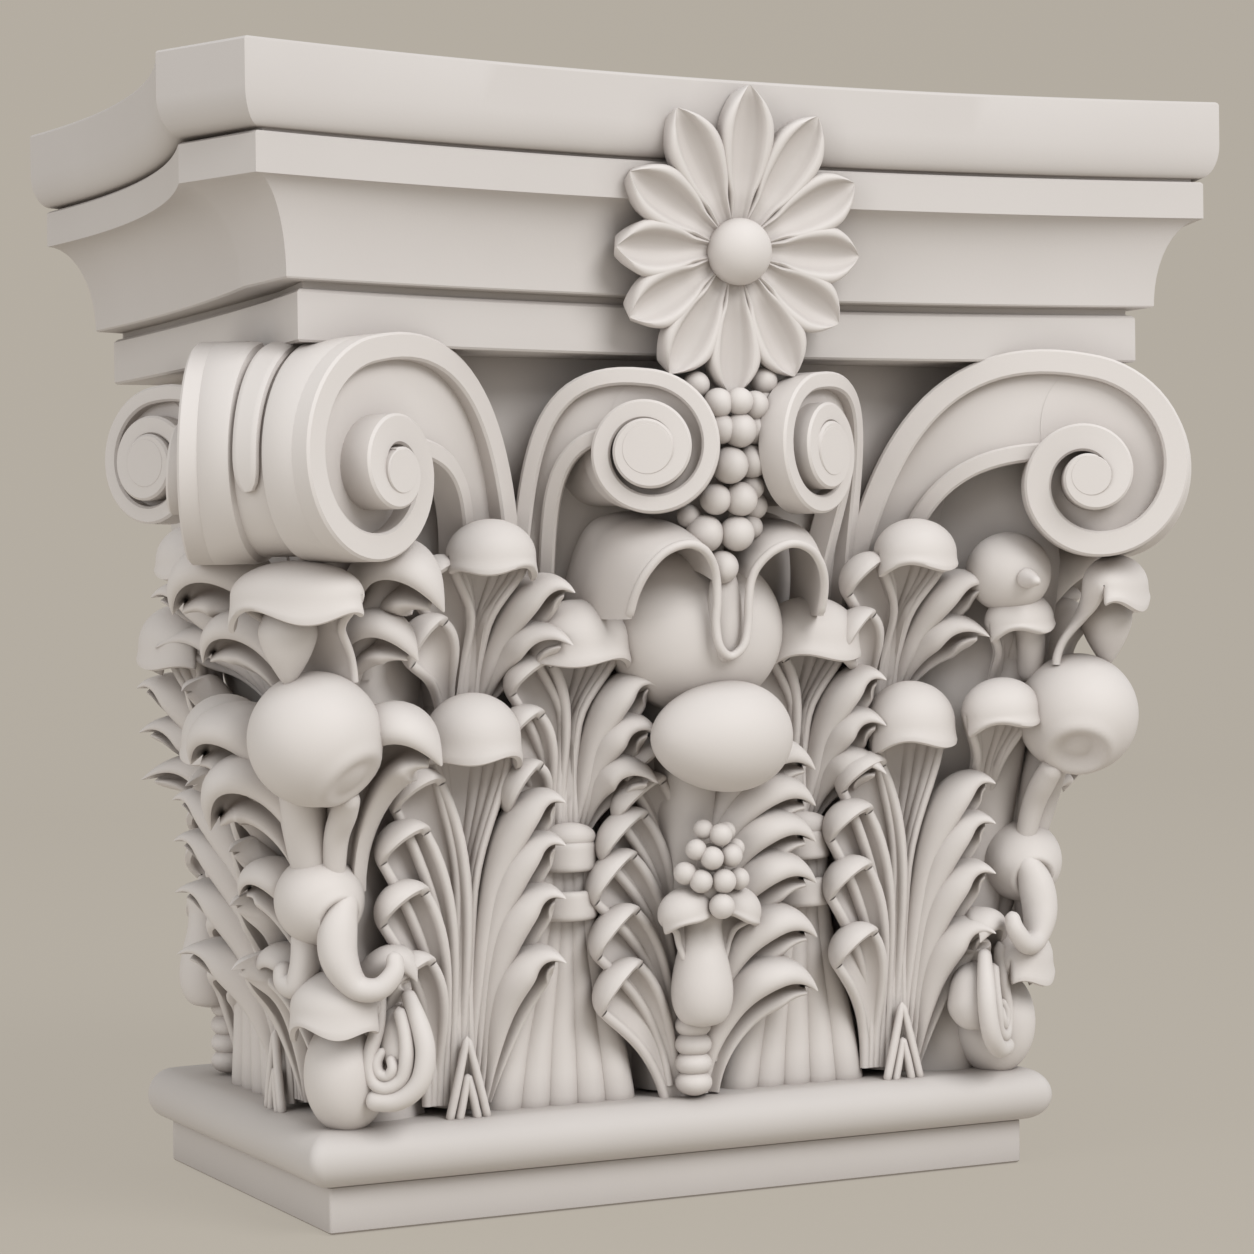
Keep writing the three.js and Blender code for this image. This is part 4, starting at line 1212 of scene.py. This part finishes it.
# %% [markdown]
# The two corners are not twins. At the left one blades sweep round to the front as well. At the right one
# two hooded leaves and a round knob take their place. The saddle over each corner is the same one,
# mirrored.

# %% Corners
saddles = saddle()
for side_name, spot, whole in (("left", CORNER, mirrored(WHOLE)), ("right", RIGHT_CORNER, WHOLE)):
    placed = at(spot, corner_leaf(side_name == "left"))
    if side_name == "right":
        placed += at(FRONT, [hooded_stalk(**hood, ribs=0.5, lean=-0.1) for hood in CORNER_HOODS])
    piece("corner_leaf_" + side_name, placed)
    piece("saddle_" + side_name, at(whole, saddles), 30)

# %% [markdown]
# Last comes the middle of each face. The front has the rosette, the grapes, the calyx and the full stem.
# Each side keeps only the lower stem with shorter fronds, because a plainer middle is in keeping where
# the wall is near.

# %% Middle of the front and of the sides
piece("rosette", at(FRONT, rosette()))
piece("centre_front", at(FRONT, grapes() + calyx() + stem(True) + fronds()))
for side_name, spot in (("left", LEFT), ("right", RIGHT)):
    piece("centre_" + side_name, at(spot, stem(False, -15) + fronds(28, -16)))

# %% [markdown]
# The camera stands where the photograph was taken from: to the left of the front, a little above half
# height, with a long lens. Its place and directions were fitted to the straight edges of the neck and the
# abacus.

# %% Camera
CAMERA_SPOT = (-0.56762, WALL * MM - 1.2805, 0.23265)
CAMERA_RIGHT = Vector((0.89677, -0.44232, -0.01284))
CAMERA_UP = Vector((0.01583, 0.00306, 0.99987))
LENS = 92.03
lens = bpy.data.cameras.new("camera")
lens.lens = LENS
lens.sensor_width = 36
camera = linked("camera", lens)
backward = CAMERA_RIGHT.cross(CAMERA_UP).normalized()
level = Matrix((CAMERA_RIGHT.normalized(), backward.cross(CAMERA_RIGHT).normalized(), backward)).transposed()
camera.matrix_world = Matrix.Translation(CAMERA_SPOT) @ level.to_4x4()
bpy.context.scene.camera = camera
print("camera", round(camera.location.length, 2), "m from the origin with a lens of", LENS, "mm")

# %% [markdown]
# A pale floor that curves up into a backdrop, and soft lamps: a broad one in front and above, a weaker
# one from the left, and an even sky that fills the hollows.

# %% Floor and light
def cove():
    depth, rise, bend, wide = 2.2, 3.0, 0.9, 4.0
    turn = np.linspace(0, np.pi / 2, 12)
    curve = [(depth + bend * math.sin(a), bend - bend * math.cos(a)) for a in turn]
    profile = [(-3.0, 0.0), *curve, (depth + bend, rise)]
    points = [(x, y, z - 0.0004) for y, z in profile for x in (-wide, wide)]
    faces = [(2 * i, 2 * i + 1, 2 * i + 3, 2 * i + 2) for i in range(len(profile) - 1)]
    mesh = bpy.data.meshes.new("floor")
    mesh.from_pydata(points, [], faces)
    mesh.polygons.foreach_set("use_smooth", [True] * len(faces))
    material = bpy.data.materials.new("floor")
    material.use_nodes = True
    wire(material.node_tree, material.node_tree.nodes["Principled BSDF"], {
        "Base Color": (0.12, 0.11, 0.095, 1), "Roughness": 1.0, "Specular IOR Level": 0.0,
        "Emission Color": (0.462, 0.423, 0.366, 1), "Emission Strength": 0.82,
    })
    mesh.materials.append(material)
    obj = linked("floor", mesh)


def lamp(name, spot, target, size, power):
    light = bpy.data.lights.new(name, "AREA")
    light.shape = "DISK"
    light.size = size
    light.energy = power
    obj = linked(name, light)
    obj.location = spot
    obj.rotation_euler = (Vector(target) - Vector(spot)).to_track_quat("-Z", "Y").to_euler()


cove()
MIDDLE = (0, 0, 0.21)
lamp("key", (0.7, -2.6, 2.3), MIDDLE, 2.0, 66)
lamp("fill", (-2.2, -0.9, 0.9), MIDDLE, 1.6, 13)
world = bpy.data.worlds.new("sky")
world.use_nodes = True
wire(world.node_tree, world.node_tree.nodes["Background"], {"Color": (1.0, 1.0, 1.0, 1), "Strength": 0.46})
bpy.context.scene.world = world
bpy.context.scene.view_settings.view_transform = "Standard"
print("lights:", [light.name for light in bpy.data.lights])
